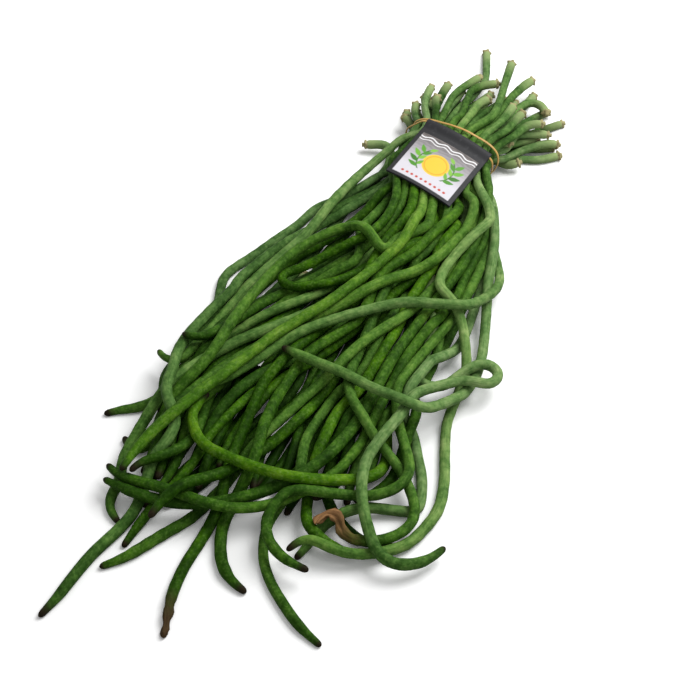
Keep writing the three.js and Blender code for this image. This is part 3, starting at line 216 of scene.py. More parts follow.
longest = max(travelled(line)[-1] for line, _ in LINES.values())
print("longest bean:", round(longest / MM), "mm")

# %% [markdown]
# ## Directions across a bean
#
# Each point of the smooth line also needs two directions across the bean, so that
# a straight pod can be laid along it. A Curve object would work them out by itself,
# but a script can't read them back. Here they are carried from point to point and
# turn as little as they can, so the pod isn't twisted.

# %% Directions
def directions(curve):
    """Two directions across the bean at each point, square to it and to each other."""
    ahead = np.gradient(curve, axis=0)
    ahead /= np.linalg.norm(ahead, axis=1)[:, None]
    side = Vector(ahead[0]).orthogonal().normalized()
    sides = []
    for before, after in zip(ahead[np.r_[0, 0:len(ahead) - 1]], ahead):
        side = Vector(before).rotation_difference(Vector(after)) @ side
        sides.append(side)
    sides = np.array(sides)
    return sides, np.cross(ahead, sides)


print("directions at", len(directions(through(LINES[BEANS[0]][0]))[0]), "points of", BEANS[0])

# %% [markdown]
# ## A straight pod
#
# A pod is round, so its outline is spun round its axis. The outline starts at the
# stem end: a short stub of stalk, the dried rim of the flower cup, and then the
# neck. It ends at a rounded tip, a little longer than it is wide. The rings between
# them are 3 mm apart, which is close enough for the seeds' slight swellings.

# %% Outline
RING_STEP = 3.0 * MM
NECK_AT = 6.0 * MM

# The tip is longer than its radius, and has a ring at each of these turns in degrees.
TIP_LONG = 1.4
TIP_TURNS = (25, 48, 68, 82)

# For each ring, its share of the stub's, cup's or neck's radius, and its place in mm.
STUB_RINGS = [(0.6, 0.1), (1, 0.5), (0.8, 1.6)]
CUP_RINGS = [(0.9, 2.2), (1, 2.9), (0.96, 3.6)]
NECK_RINGS = [(0.84, 4.0), (0.9, 4.5)]


def outline(length, radius_at, stub, cup):
    """Radius and place of each ring, from the stalk stub to the tip."""
    neck = float(radius_at(NECK_AT))
    rings = [(0, 0)]
    for radius, shares in ((stub, STUB_RINGS), (cup, CUP_RINGS), (neck, NECK_RINGS)):
        rings += [(share * radius, place * MM) for share, place in shares]
    tip = float(radius_at(length))
    round_from = length - TIP_LONG * tip
    count = round((round_from - NECK_AT) / RING_STEP)
    for place in np.linspace(NECK_AT, round_from, count + 1):
        rings.append((float(radius_at(place)), float(place)))
    for turn in map(math.radians, TIP_TURNS):
        rings.append((tip * math.cos(turn), round_from + TIP_LONG * tip * math.sin(turn)))
    return rings + [(0, length)]


print("rings before the neck:", len(STUB_RINGS + CUP_RINGS + NECK_RINGS))

# %% Spin
SIDES = 18


def spin_pod(rings):
    """A straight pod standing on its stem end, as a closed bmesh."""
    pod = bmesh.new()
    points = [pod.verts.new((radius, 0, place)) for radius, place in rings]
    edges = [pod.edges.new(pair) for pair in zip(points, points[1:])]
    bmesh.ops.spin(pod, geom=points + edges, cent=(0, 0, 0), axis=(0, 0, 1),
                   angle=2 * math.pi, steps=SIDES, use_merge=True)
    bmesh.ops.remove_doubles(pod, verts=pod.verts, dist=WELD)
    bmesh.ops.recalc_face_normals(pod, faces=pod.faces)
    return pod


print("sides of a pod:", SIDES)

# %% [markdown]
# ## What makes each pod its own
#
# Fresh pods swell slightly over their seeds, and their skin has long shallow
# creases where they have begun to wilt. A Displace modifier with a noise could
# roughen them all alike. Here the swellings and creases are sums of slow waves with
# seeded phases instead, because then they follow the pod, and each pod has its own.

# %% Slow waves
# How fast each wave turns, and its share of the whole.
WAVES = [(1.0, 0.55), (2.3, 0.3), (4.1, 0.15)]


def drift(place, luck, span, size):
    """A slow wave along the bean that never quite repeats."""
    return sum(size * share * np.sin(rate * place / span + luck.uniform(0, math.tau))
               for rate, share in WAVES)


print("waves in a drift:", len(WAVES))

# %% Swellings and creases
SEED_STEP = 11.0 * MM
SEED_SWELL = 0.035
SWELL_MIDDLE = 0.6
OVAL = 0.03
CREASES = 2
CREASE_DEPTH = 0.11
CREASE_WIDTH = 0.36
DEPTH_MIDDLE = 0.5

# How far each drift runs along the bean before it turns, and how large it is.
SEED_DRIFT = (60 * MM, 3.0)
SWELL_DRIFT = (90 * MM, 0.7)
OVAL_DRIFT = (120 * MM, 2.0)
WIDTH_DRIFT = (45 * MM, 0.03)
CREASE_DRIFT = (110 * MM, 1.6)
DEPTH_DRIFT = (70 * MM, 0.8)


def body_factor(place, angle, luck):
    """How much wider or narrower than its ring each point of the pod is."""
    seeds = place / SEED_STEP * math.tau + drift(place, luck, *SEED_DRIFT)
    swell = SEED_SWELL * np.sin(seeds) * (SWELL_MIDDLE + drift(place, luck, *SWELL_DRIFT))
    oval = OVAL * np.cos(2 * (angle - drift(place, luck, *OVAL_DRIFT)))
    factor = 1 + swell + oval + drift(place, luck, *WIDTH_DRIFT)
    for _ in range(CREASES):
        line = luck.uniform(0, math.tau) + drift(place, luck, *CREASE_DRIFT)
        away = np.angle(np.exp(1j * (angle - line)))
        depth = CREASE_DEPTH * (DEPTH_MIDDLE + drift(place, luck, *DEPTH_DRIFT))
        factor -= np.clip(depth, 0, 1) * np.exp(-(away / CREASE_WIDTH) ** 2)
    return factor


places = np.arange(0, longest, RING_STEP)
widths = body_factor(places, np.zeros(len(places)), random.Random(0))
print("one side of a pod is from", widths.min().round(2), "to", widths.max().round(2), "wide")

# %% [markdown]
# ## The two ends
#
# The flower cup's rim has five small teeth, where its lobes have dried. Most pods
# end in a dark blunt tip. Two are withered at the end: their thin skin is folded
# lengthwise and pinched across, and one of them is curled and tan. Sculpting would
# give a finer fold, but waves round and along the pod are enough at this size.

# %% Cup teeth and withered ends
TEETH = 5
TOOTH_DEPTH = 0.2
CUP_FROM = 2.1 * MM
CUP_TO = 3.7 * MM

# How long a dark tip may be, in mm.
DARK_TIPS = [4.0, 6.0, 9.0, 12.0]

# A withered end's length, the width that is left, and how rough it is.
WITHERED = {"bean_24": (44 * MM, 0.8, 0.75), "bean_17": (34 * MM, 0.72, 0.45)}
TAN_SHARE = {"bean_24": 1.0, "bean_17": 0.18}
FOLDS = 3
FOLD_SHARE = 0.7
FOLD_DRIFT = (12 * MM, 2.5)
PINCH_STEP = 1.9 * MM
PINCH_SLANT = 1.3
PINCH_SHARE = 0.5


def toothed(radius, place, angle, luck):
    """The radius, with the teeth of the flower cup's rim."""
    teeth = 1 + TOOTH_DEPTH * np.cos(TEETH * angle + luck.uniform(0, math.tau))
    on_cup = (place > CUP_FROM) & (place < CUP_TO)
    return np.where(on_cup, radius * teeth, radius)


def crumple(place, angle, luck, dry, wide, rough):
    """A withered end's width: thin skin, folded lengthwise and pinched across."""
    folds = np.sin(FOLDS * angle + drift(place, luck, *FOLD_DRIFT))
    pinches = np.sin(place / PINCH_STEP + PINCH_SLANT * np.sin(2 * angle))
    return 1 + dry * (wide - 1 + rough * (FOLD_SHARE * folds + PINCH_SHARE * pinches))


print("withered:", sorted(WITHERED))

# %% [markdown]
# ## Laying a pod along its line
#
# A Curve modifier could bend the straight pod. Moving the points here does the
# same, and keeps what the materials need: each point's place on the straight pod,
# how far it is from the stem end, and how withered and how bright it is. A point
# that would sink into the table is pressed flat on it, as a limp bean is.

# %% Bend, and note values on the points
TABLE_GAP = 0.05 * MM


def note(mesh, name, values):
    """Store one number, or one vector, on each point of a mesh."""
    kind = "FLOAT" if values.ndim == 1 else "FLOAT_VECTOR"
    field = "value" if values.ndim == 1 else "vector"
    attribute = mesh.attributes.new(name, kind, "POINT")
    attribute.data.foreach_set(field, values.astype(np.float32).ravel())


def lay(curve, place, angle, radius):
    """Where the pod's points come to lie along the curve."""
    steps = travelled(curve)
    across, over = directions(curve)

    def at(values):
        return np.column_stack([np.interp(place, steps, values[:, k]) for k in range(3)])
    out = at(across) * np.cos(angle)[:, None] + at(over) * np.sin(angle)[:, None]
    laid = at(curve) + out * radius[:, None]
    laid[:, 2] = np.maximum(laid[:, 2], TABLE_GAP)
    return laid


print("pods are pressed flat below", TABLE_GAP / MM, "mm")

# %% [markdown]
# ## How green each pod is
#
# Pods of one bunch differ: some are warm yellow-green and some a cool blue-green,
# and each has its own tone. Painted light and shade go into the same values: the
# pods on top are painted bright, as if lit, and the ones underneath dark, as if in
# shade. One material can serve them all, if it reads two values from the points:
# how bright, and how cool. A table gives each pod its own, and the ones left out of
# it are the hidden ones, painted in shade. Towards the stem end every pod is cooler
# and paler, partly its own colour and partly painted light, and towards the tip it
# is darker and warmer, painted shade where the light falls off.

# %% Brightness and coolness
# Each pod's brightness is its own tone together with painted light on the pods on top and painted
# shade on the pods underneath.
TONE_AND_PAINTED_LIGHT = {1: 0.64, 2: 0.62, 3: 0.61, 4: 0.62, 5: 0.62, 6: 0.52, 7: 0.62, 8: 0.37, 9: 0.53,
              10: 0.36, 11: 0.44, 12: 0.56, 13: 0.58, 14: 0.4, 15: 0.42, 16: 0.42, 17: 0.28,
              18: 0.46, 19: 0.49, 20: 0.42, 21: 0.35, 22: 0.35, 23: 0.46, 24: 0.44, 25: 0.34,
              26: 0.4, 27: 0.4, 28: 0.58, 29: 0.59, 30: 0.44, 31: 0.62, 33: 0.32, 38: 0.36,
              39: 0.36, 40: 0.34, 41: 0.25, 42: 0.34, 43: 0.32, 44: 0.34, 45: 0.34, 52: 0.28,
              54: 0.3, 55: 0.28}
# Hidden pods under the others are painted dark, as painted shade.
HIDDEN_PAINTED_SHADE = 0.2
BRIGHTNESS_LUCK = 0.05
BRIGHTNESS_DRIFT = (150 * MM, 0.10)
# Each pod's own coolness. The cool greens are paler, so on the pods on top and to the right it also
# adds to the painted light.
COOLNESS = {1: 0.1, 2: 0.7, 3: 0.85, 4: 0.6, 5: 0.85, 6: 0.2, 7: 0.6, 9: 0.2, 10: 0.9,
            11: 0.65, 12: 0.5, 13: 0.55, 14: 0.25, 15: 0.2, 16: 0.2, 18: 0.1, 19: 0.25,
            22: 0.25, 24: 0.3, 25: 0.15, 26: 0.15, 27: 0.25, 28: 0.95, 30: 0.6, 31: 0.5,
            38: 0.3, 39: 0.3, 41: 0.25, 43: 0.15, 44: 0.4}
NEAR_STEM = 190 * MM
NEAR_TIP = 130 * MM
# Near the stem end the pods are cooler and paler: partly their own colour, partly painted light, as
# the light is strongest over the stem ends.
STEM_COOL_AND_PAINTED_LIGHT = 0.55
# Towards the tip the pods are painted darker and warmer, as painted shade where the light falls
# off.
TIP_PAINTED_SHADE = 0.15
TIP_WARMER = 0.6


def note_green(mesh, number, place, from_tip, luck):
    """Store how bright and how cool the skin is at each point, painted light and shade included."""
    near_stem = np.clip(1 - place / NEAR_STEM, 0, 1)
    near_tip = np.clip(1 - from_tip / NEAR_TIP, 0, 1)
    bright = TONE_AND_PAINTED_LIGHT.get(number, HIDDEN_PAINTED_SHADE)
    bright = bright + luck.uniform(-BRIGHTNESS_LUCK, BRIGHTNESS_LUCK)
    bright = bright + drift(place, luck, *BRIGHTNESS_DRIFT) - TIP_PAINTED_SHADE * near_tip
    cool = COOLNESS.get(number, 0) * (1 - TIP_WARMER * near_tip)
    note(mesh, "bright", bright)
    note(mesh, "cool", np.clip(cool + STEM_COOL_AND_PAINTED_LIGHT * near_stem, 0, 1))


print("pods with their own brightness:", len(TONE_AND_PAINTED_LIGHT))

# %% [markdown]
# ## One bean
#
# Now the steps come together. A straight pod is spun, its points are moved in and
# out for the swellings, the creases, the cup and the withered end, and then it is
# laid along its line. Its number is the seed of its random draws, so the same bean
# comes out the same each time.

# %% Make the beans
STUB_RADIUS = (1.5, 2.3)
CUP_RADIUS = (3.2, 4.1)

# The swellings grow from nothing over this much of the neck.
BODY_FADE = 12 * MM

# A tip dries gradually, and this much above 1 makes its last part fully dry.
DRY_FADE = 1.6


def straight_pod(node, length, luck):
    """A bean's mesh, standing straight, with the frame's thickness all along."""
    line, size = LINES[node]
    known = travelled(line)
    known *= length / known[-1]
    stub = luck.uniform(*STUB_RADIUS) * MM
    cup = luck.uniform(*CUP_RADIUS) * MM
    pod = spin_pod(outline(length, lambda s: np.interp(s, known[1:-1], size[1:-1]), stub, cup))
    mesh = bpy.data.meshes.new("pod" + node.removeprefix("bean"))
    pod.to_mesh(mesh)
    pod.free()
    return mesh


def make_bean(node):
    number = int(node[-2:])
    luck = random.Random(number)
    curve = soften(through(LINES[node][0]))
    length = travelled(curve)[-1]
    mesh = straight_pod(node, length, luck)
    x, y, place = read_points(mesh).T
    angle, radius = np.arctan2(y, x), np.hypot(x, y)
    from_tip = length - place
    withered, wide, rough = WITHERED.get(node, (luck.choice(DARK_TIPS) * MM, 1, 0))
    dry = np.clip(DRY_FADE * (1 - from_tip / withered), 0, 1)
    on_body = np.clip((place - NECK_AT) / BODY_FADE, 0, 1)
    radius = radius * (1 + on_body * (body_factor(place, angle, luck) - 1))
    radius = radius * crumple(place, angle, luck, dry, wide, rough)
    radius = toothed(radius, place, angle, luck)
    mesh.vertices.foreach_set("co", lay(curve, place, angle, radius).ravel())

    # The number is a shift in metres, so that no two pods have the same pattern.
    note(mesh, "straight", np.column_stack(
        [radius * np.cos(angle), radius * np.sin(angle), place + number]))
    note(mesh, "from_stem", place)
    note(mesh, "dry", dry)
    note(mesh, "tan", dry * TAN_SHARE.get(node, 0))
    note_green(mesh, number, place, from_tip, luck)
    shade_smooth(mesh)
    bean = put_in_scene(mesh.name, mesh)
    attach(bean, "root")
    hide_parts(node)
    return bean


pods = [make_bean(node) for node in BEANS]
print("pods:", len(pods), "faces:", sum(len(p.data.polygons) for p in pods))

# %% [markdown]
# ## The elastic
#
# The elastic is one loop of flat natural rubber, wound twice. The frame has its
# path right, in short straight pieces with square edges. Joining its triangles to
# four-sided faces lets Subdivision Surface round both the path and the edges.

# %% Elastic
FLAT_ENOUGH = math.radians(40)
SQUARE_ENOUGH = math.radians(60)
ROUNDING_LEVELS = 2


def make_elastic():
    loop = welded("elastic_band")
    bmesh.ops.join_triangles(loop, faces=loop.faces, angle_face_threshold=FLAT_ENOUGH,
                             angle_shape_threshold=SQUARE_ENOUGH)
    mesh = bpy.data.meshes.new("elastic")
    loop.to_mesh(mesh)
    loop.free()
    shade_smooth(mesh)
    band = put_in_scene("elastic", mesh)
    rounding = band.modifiers.new("rounding", "SUBSURF")
    rounding.levels = rounding.render_levels = ROUNDING_LEVELS
    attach(band, "root")
    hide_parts("elastic_band")
    return band


elastic = make_elastic()
print("elastic faces:", len(elastic.data.polygons))

# %% [markdown]
# ## The card tag
#
# The tag is one strip of coated card, folded over the elastic so that its two
# leaves lie together. It is made as the real one is: a flat sheet is folded, bowed
# over the beans, and given its thickness. The frame's tag gives the place: the
# directions in which its points spread most, and least, are those of the card.

# %% Where the card lies
CARD_WIDE = 56 * MM
LEAF_LONG = 60 * MM
THICK = 0.5 * MM
LEAF_GAP = 0.6 * MM
FOLD_INSIDE = 2.4 * MM

# The leaves part over this length, next to the fold.
FOLD_TAPER = 3.2 * FOLD_INSIDE


def card_place():
    """The middle of the fold, and the card's directions: across, towards the fold, up."""
    card = welded("label")
    points = np.array([v.co for v in card.verts])
    card.free()
    middle = points.mean(axis=0)
    *flat, up = np.linalg.svd(points - middle, full_matrices=False)[2]
    across, fold = sorted(flat, key=lambda axis: abs(axis[1]))
    across = across * np.sign(across[0])
    fold = fold * np.sign(fold[1])
    up = up * np.sign(up[2])
    local = (points - middle) @ np.column_stack([across, fold, up])
    spine = middle + across * (local[:, 0].min() + local[:, 0].max()) / 2
    spine = spine + fold * (local[:, 1].max() - FOLD_INSIDE - THICK)
    centre = np.abs(local[:, 0]) < CARD_WIDE / 4
    spine = spine + up * (local[centre, 2].min() + local[centre, 2].max()) / 2
    return spine, across, fold, up


spine, card_across, card_fold, card_up = card_place()
print("fold at", spine.round(4), "card faces", card_up.round(2))

# %% [markdown]
# ## Folding the sheet
#
# Seen from its side, the sheet's middle runs up one leaf, round the fold and back
# down the other leaf. The leaves part near the fold, to leave room for the elastic.
# A Simple Deform modifier bends at one even radius, so it can't make this section.
# A fine flat grid is mapped onto it instead, and the grid is fine enough for what
# is printed on the card to be held on its points.

# %% Fold a flat sheet
CELL = 0.45 * MM
BOW_RADIUS = 170 * MM
NOSE_POINTS = 12

# The flat grid is one unit square, so its points are shares of the sheet.
HALF_GRID = 0.5


def fold_section():
    """The sheet's middle, seen from its side: one leaf's free edge, the fold, the other."""
    radius = FOLD_INSIDE + THICK / 2
    leaf = (LEAF_GAP + THICK) / 2
    back = np.arange(-LEAF_LONG, 0, CELL)
    near = np.clip(1 + back / FOLD_TAPER, 0, 1)
    height = leaf + (radius - leaf) * near ** 2 * (3 - 2 * near)
    turn = np.radians(np.linspace(90, 0, NOSE_POINTS))
    nose = np.column_stack([radius * np.cos(turn), radius * np.sin(turn)])
    top = np.vstack([np.column_stack([back, height]), nose])
    return np.vstack([top, top[-2::-1] * [1, -1]])


def make_card_mesh():
    """The folded mesh, each point's place on the flat sheet, and the sheet's length."""
    section = fold_section()
    steps = travelled(section)
    sheet = bmesh.new()
    bmesh.ops.create_grid(sheet, x_segments=round(CARD_WIDE / CELL),
                          y_segments=round(steps[-1] / CELL), size=HALF_GRID)
    mesh = bpy.data.meshes.new("card_tag")
    sheet.to_mesh(mesh)
    sheet.free()
    flat = read_points(mesh)
    side = flat[:, 0] * CARD_WIDE
    along = (flat[:, 1] + HALF_GRID) * steps[-1]
    length = np.interp(along, steps, section[:, 0])
    from_bow = BOW_RADIUS + np.interp(along, steps, section[:, 1])
    x = from_bow * np.sin(side / BOW_RADIUS)
    z = from_bow * np.cos(side / BOW_RADIUS) - BOW_RADIUS
    laid = spine + np.outer(x, card_across) + np.outer(length, card_fold) + np.outer(z, card_up)
    mesh.vertices.foreach_set("co", laid.ravel())
    return mesh, side, along, steps[-1]


card_mesh, card_side, card_along, sheet_long = make_card_mesh()
print("card sheet:", round(CARD_WIDE / MM), "by", round(sheet_long / MM), "mm")

# %% [markdown]
# ## What is printed on the card
#
# The front leaf has a charcoal border round a picture panel. The picture here is a
# plain design in the same colours, without words: two white waves above, a yellow
# disc between two leafy twigs, and a row of red spots below, on a ground that goes
# from stone grey to pale. An image would be the usual way, but this one can be
# written as shapes. It is painted on the sheet's points, in millimetres across from
# the middle and down from the fold, so its edges are as sharp as the sheet is fine.

# %% Colours and soft edges
EDGE_SOFT = 0.3


def linear(code):
    """An sRGB hex colour as linear numbers."""
    parts = [int(code[i:i + 2], 16) / 255 for i in (1, 3, 5)]
    return np.array([c / 12.92 if c <= 0.04045 else ((c + 0.055) / 1.055) ** 2.4 for c in parts])


def cover(distance):
    """1 inside a shape, 0 outside, with a soft edge. Distances are in millimetres."""
    return np.clip(0.5 - distance / EDGE_SOFT, 0, 1)[:, None]


CHARCOAL = "#252528"
print("charcoal in linear numbers:", linear(CHARCOAL).round(3))

# %% Shapes of the picture
PANEL_MIDDLE = (-0.2, 38.6)
PANEL_HALF = (24.3, 22.8)
DISC_MIDDLE = (0, 39.7)
DISC_RADIUS = 10.5
RIM_RADIUS = 8.6
RIM_HALF = 0.35
TWIG_RADIUS = 14.5
TWIG_HALF = 0.5
TWIG_REACH = 10.5
WAVE_LINES = [(18.8, 0.5), (21.6, 0.35)]
WAVE_HEIGHT = 1.0
WAVE_RATE = 0.5
SPOT_ROW = 57.5
SPOT_RADIUS = 1.1
SPOT_STEP = 4
SPOTS_HALF = 20

# One twig's leaves: base and tip from the disc's middle, plumpness and colour.
LEAVES = [((11.5, 9), (20, 6.5), 0.2, "#4f8f2a"), ((13.6, 4.5), (22, 0), 0.2, "#3f7a24"),
          ((14.5, -1), (21.5, -7), 0.2, "#6fae38"), ((13.5, -6), (18.5, -13), 0.2, "#5a9a2e"),
          ((12.5, 7), (9.5, 1), 0.22, "#6fae38"), ((14.2, 1.5), (10, -4.5), 0.22, "#82bb45"),
          ((13.8, -4), (8, -9.5), 0.2, "#4f8f2a"), ((10.6, -10), (5.5, -14), 0.22, "#82bb45")]
LEAF_LEAN = 0.8
LEAF_BLUNT = 0.9


def leaf_shape(x, down, base, tip, plump):
    """Distance outside a leaf that runs from its base to its tip."""
    span = np.array(tip) - base
    long = np.hypot(*span)
    ahead = ((x - base[0]) * span[0] + (down - base[1]) * span[1]) / long
    off = ((x - base[0]) * span[1] - (down - base[1]) * span[0]) / long
    share = np.clip(ahead / long, 0, 1)
    half = plump * long * np.sin(math.pi * share ** LEAF_LEAN) ** LEAF_BLUNT
    return np.maximum(np.abs(off) - half, np.abs(ahead - long / 2) - long / 2)


def within(x, middle, half):
    """Distance outside a band that is centred on middle."""
    return np.abs(x - middle) - half


def picture(x, down):
    """Distance outside each shape, and its colour, from the lowest layer up."""
    for row, half in WAVE_LINES:
        yield within(down - WAVE_HEIGHT * np.sin(x * WAVE_RATE), row, half), "#f4f3f5"
    from_spot = x % SPOT_STEP - SPOT_STEP / 2
    spots = np.hypot(from_spot, down - SPOT_ROW) - SPOT_RADIUS
    yield np.maximum(spots, within(x, 0, SPOTS_HALF)), "#c04a3a"
    across, below = x - DISC_MIDDLE[0], down - DISC_MIDDLE[1]
    away = np.hypot(across, below)
    yield away - DISC_RADIUS, "#f0c53a"
    yield within(away, RIM_RADIUS, RIM_HALF), "#d99a2b"
    twigs = np.maximum(within(away, TWIG_RADIUS, TWIG_HALF), within(below, 0, TWIG_REACH))
    yield twigs, "#3f6f22"
    for side in (-1, 1):
        for base, tip, plump, code in LEAVES:
            yield leaf_shape(side * across, below, base, tip, plump), code


print("leaves on each twig:", len(LEAVES))

# %% Paint the sheet
PANEL_PALE = "#d6d3da"
STONE_GREY = "#6b6563"
STONE_ENDS = 50
STONE_OVER = 32
GRAIN_RATE = 2.1
GRAIN_SWAY = (1.5, 0.21)
GRAIN_WOBBLE = (0.8, 0.9)
GRAIN_DARK = 0.7
GRAIN_VARIES = 0.6
FRONT_FROM = 1


def stone(x, down):
    """Stone grey, with wavy grain across it."""
    sway = GRAIN_SWAY[0] * np.sin(x * GRAIN_SWAY[1])
    wobble = GRAIN_WOBBLE[0] * np.sin(x * GRAIN_WOBBLE[1] + down)
    grain = 0.5 + 0.5 * np.sin(down * GRAIN_RATE + sway + wobble)
    return linear(STONE_GREY) * (GRAIN_DARK + GRAIN_VARIES * grain[:, None])


def paint_print():
    """The linear colour of each point of the sheet."""
    x = card_side / MM
    down = (sheet_long / 2 - card_along) / MM
    panel = np.maximum(within(x, PANEL_MIDDLE[0], PANEL_HALF[0]),
                       within(down, PANEL_MIDDLE[1], PANEL_HALF[1]))
    on_panel = cover(panel)
    colour = linear(CHARCOAL) * (1 - on_panel) + linear(PANEL_PALE) * on_panel
    grey = np.clip((STONE_ENDS - down) / STONE_OVER, 0, 1)[:, None] * on_panel
    colour = colour * (1 - grey) + stone(x, down) * grey
    for distance, code in picture(x, down):
        mask = cover(np.maximum(distance, panel))
        colour = colour * (1 - mask) + linear(code) * mask
    return np.where((down > FRONT_FROM)[:, None], colour, linear(CHARCOAL))


def finish_card():
    printed = card_mesh.attributes.new("printed", "FLOAT_COLOR", "POINT")
    shown = np.column_stack([paint_print(), np.ones(len(card_side))])
    printed.data.foreach_set("color", shown.astype(np.float32).ravel())
    shade_smooth(card_mesh)
    card = put_in_scene("card_tag", card_mesh)
    wall = card.modifiers.new("thickness", "SOLIDIFY")
    wall.thickness = THICK
    wall.offset = 0
    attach(card, "root")
    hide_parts("label")
    return card


card = finish_card()
print("card faces:", len(card_mesh.polygons))

# %% [markdown]
# ## Building materials
#
# Every finish is a small tree of shader nodes. One function adds a node, sets its
# options, and fills its sockets, with a link where the value is another node's
# output. A Mix node has sockets of the same name for numbers and colours, so the
# colour ones are called by their places.

# %% Material helper
SHARE, LOW, HIGH, MIXED = 0, 6, 7, 2


def add(tree, kind, sockets=None, **options):
    """A new shader node with its options set and its sockets filled or linked."""
    node = tree.nodes.new("ShaderNode" + kind)
    for name, value in options.items():
        setattr(node, name, value)
    for name, value in (sockets or {}).items():
        if isinstance(value, bpy.types.NodeSocket):
            tree.links.new(value, node.inputs[name])
        else:
            node.inputs[name].default_value = value
    return node


def paint(code):
    return (*linear(code), 1)


def new_material(name):
    """An empty material, its node tree and its Principled shader."""
    material = bpy.data.materials.new(name)
    material.use_nodes = True
    tree = material.node_tree
    return material, tree, tree.nodes["Principled BSDF"]


print("charcoal for a socket:", [round(float(c), 3) for c in paint(CHARCOAL)])

# %% [markdown]
# ## Pod skin
#
# A pod's skin is alive: waxy but dull, with fine pale breathing pores and faint
# long fibres. Its green runs from a cool blue-green to a warm yellow-green. The
# neck pales towards the flower cup, the cup is tan and papery, and a tip that has
# begun to dry is dark brown, or tan like old paper where it has withered right
# through.
#
# Four noises make the pattern, and each has its real size. The patches are 18 mm
# across and the mottle 3.6 mm. Real pores and fibres are finer than a tenth of a
# millimetre, so they are drawn coarser, 1.4 and 1.1 mm, to show at all. Painting a
# picture of the skin could show more, but it would have to be painted for each pod.
# The wax lets some of the skin's colour into its shine, so its tint is pale green.

# %% Greens of the pod skin
WARM_GREENS = {0: "#112a02", 0.3: "#264a05", 0.55: "#426e0a", 0.8: "#638c1a", 1: "#86a634"}
COOL_GREENS = {0: "#1f3a15", 0.3: "#3f602f", 0.55: "#64854e", 0.8: "#89a26b", 1: "#a9bb88"}


def green_of(tree, shade, coolness):
    """Green for a shade from 0 to 1, between the warm and the cool ones."""
    greens = []
    for colours in (WARM_GREENS, COOL_GREENS):
        ramp = add(tree, "ValToRGB", {"Fac": shade})
        stops = ramp.color_ramp.elements
        stops[0].color, stops[1].color = paint(colours[0]), paint(colours[1])
        for position in list(colours)[1:-1]:
            stops.new(position).color = paint(colours[position])
        greens.append(ramp.outputs["Color"])
    return add(tree, "Mix", {SHARE: coolness, LOW: greens[0], HIGH: greens[1]},
               data_type="RGBA").outputs[MIXED]


print("greens in each ramp:", len(WARM_GREENS))

# %% Noises, and the shade they give
FIBRE_STRETCH = (1, 1, 0.08)
PATCHES_SHOW = 0.9
MOTTLE_SHOWS = 0.7
SHADE_BALANCE = 0.8

# Each noise's repeats in a metre, and its levels of detail.
NOISES = {"patches": (55, 3), "streaks": (900, 3), "pores": (700, 2), "mottle": (280, 4)}


def skin_values(tree):
    """The values noted on the points and the four noises, by name."""
    value = {}
    for name in ("bright", "cool", "dry", "tan", "from_stem"):
        value[name] = add(tree, "Attribute", attribute_name=name).outputs["Fac"]
    straight = add(tree, "Attribute", attribute_name="straight").outputs["Vector"]
    fibres = add(tree, "Mapping", {"Vector": straight, "Scale": FIBRE_STRETCH}).outputs["Vector"]
    for name, (scale, detail) in NOISES.items():
        source = fibres if name == "streaks" else straight
        value[name] = add(tree, "TexNoise", {"Vector": source, "Scale": scale,
                                             "Detail": detail}).outputs["Fac"]
    return value


def skin_shade(tree, value):
    """How light the green is: the pod's brightness, painted light and shade included, with its
    patches and mottle.
    """
    shade = add(tree, "Math", {0: value["patches"], 1: PATCHES_SHOW, 2: value["bright"]},
                operation="MULTIPLY_ADD").outputs[0]
    shade = add(tree, "Math", {0: value["mottle"], 1: MOTTLE_SHOWS, 2: shade},
                operation="MULTIPLY_ADD").outputs[0]
    return add(tree, "Math", {0: shade, 1: SHADE_BALANCE}, operation="SUBTRACT").outputs[0]


print("noises:", sorted(NOISES))

# %% Layers over the green
FLECK_GREEN = "#86a45a"
FIBRE_GREEN = "#1f3d0e"
NECK_GREEN = "#9aac74"

# What a layer follows, where it starts, where it is full, and how full it is there.
FADES = {"flecks": ("pores", 0.48, 0.75, 0.55), "fibres": ("streaks", 0.48, 0.72, 0.45),
         "neck": ("from_stem", 24 * MM, 5 * MM, 0.8),
         "cup": ("from_stem", 5.2 * MM, 3.8 * MM, 0.9)}

# The noise that a blend follows, and its darkest and palest colours.
BLENDS = {"cup": ("patches", "#6c5c38", "#cdc595"), "dark": ("streaks", "#0f0d0a", "#33291e"),
          "papyrus": ("streaks", "#2a160a", "#b4875c")}


def skin_layers(tree, value, shade):
    """Each layer's share and colour, from the lowest one up."""
    share = {}
    for name, (follows, start, full, most) in FADES.items():
        share[name] = add(tree, "MapRange", {"Value": value[follows], "From Min": start,
                                             "From Max": full, "To Max": most}).outputs["Result"]
    bright_flecks = add(tree, "Math", {0: share["flecks"], 1: shade}, operation="MULTIPLY")
    blend = {}
    for name, (follows, dark, pale) in BLENDS.items():
        blend[name] = add(tree, "Mix", {SHARE: value[follows], LOW: paint(dark), HIGH: paint(pale)},
                          data_type="RGBA").outputs[MIXED]
    return [(bright_flecks.outputs[0], paint(FLECK_GREEN)), (share["fibres"], paint(FIBRE_GREEN)),
            (share["neck"], paint(NECK_GREEN)), (share["cup"], blend["cup"]),
            (value["dry"], blend["dark"]), (value["tan"], blend["papyrus"])]


print("layers that fade in:", sorted(FADES))

# %% Pod material
SKIN_DULL = (0.45, 0.65)
STREAKS_RISE = 0.6
MOTTLE_RISES = 2.2
SKIN_BUMP = 0.7
SKIN_RELIEF = 0.2 * MM
WAX_SHINE = 0.1
WAX_TINT = "#b4d492"


def skin_bump(tree, value):
    """The skin's fine relief: streaks and mottle, on top of the pores."""
    relief = add(tree, "Math", {0: value["streaks"], 1: STREAKS_RISE, 2: value["pores"]},
                 operation="MULTIPLY_ADD").outputs[0]
    relief = add(tree, "Math", {0: value["mottle"], 1: MOTTLE_RISES, 2: relief},
                 operation="MULTIPLY_ADD").outputs[0]
    return add(tree, "Bump", {"Height": relief, "Strength": SKIN_BUMP,
                              "Distance": SKIN_RELIEF}).outputs["Normal"]


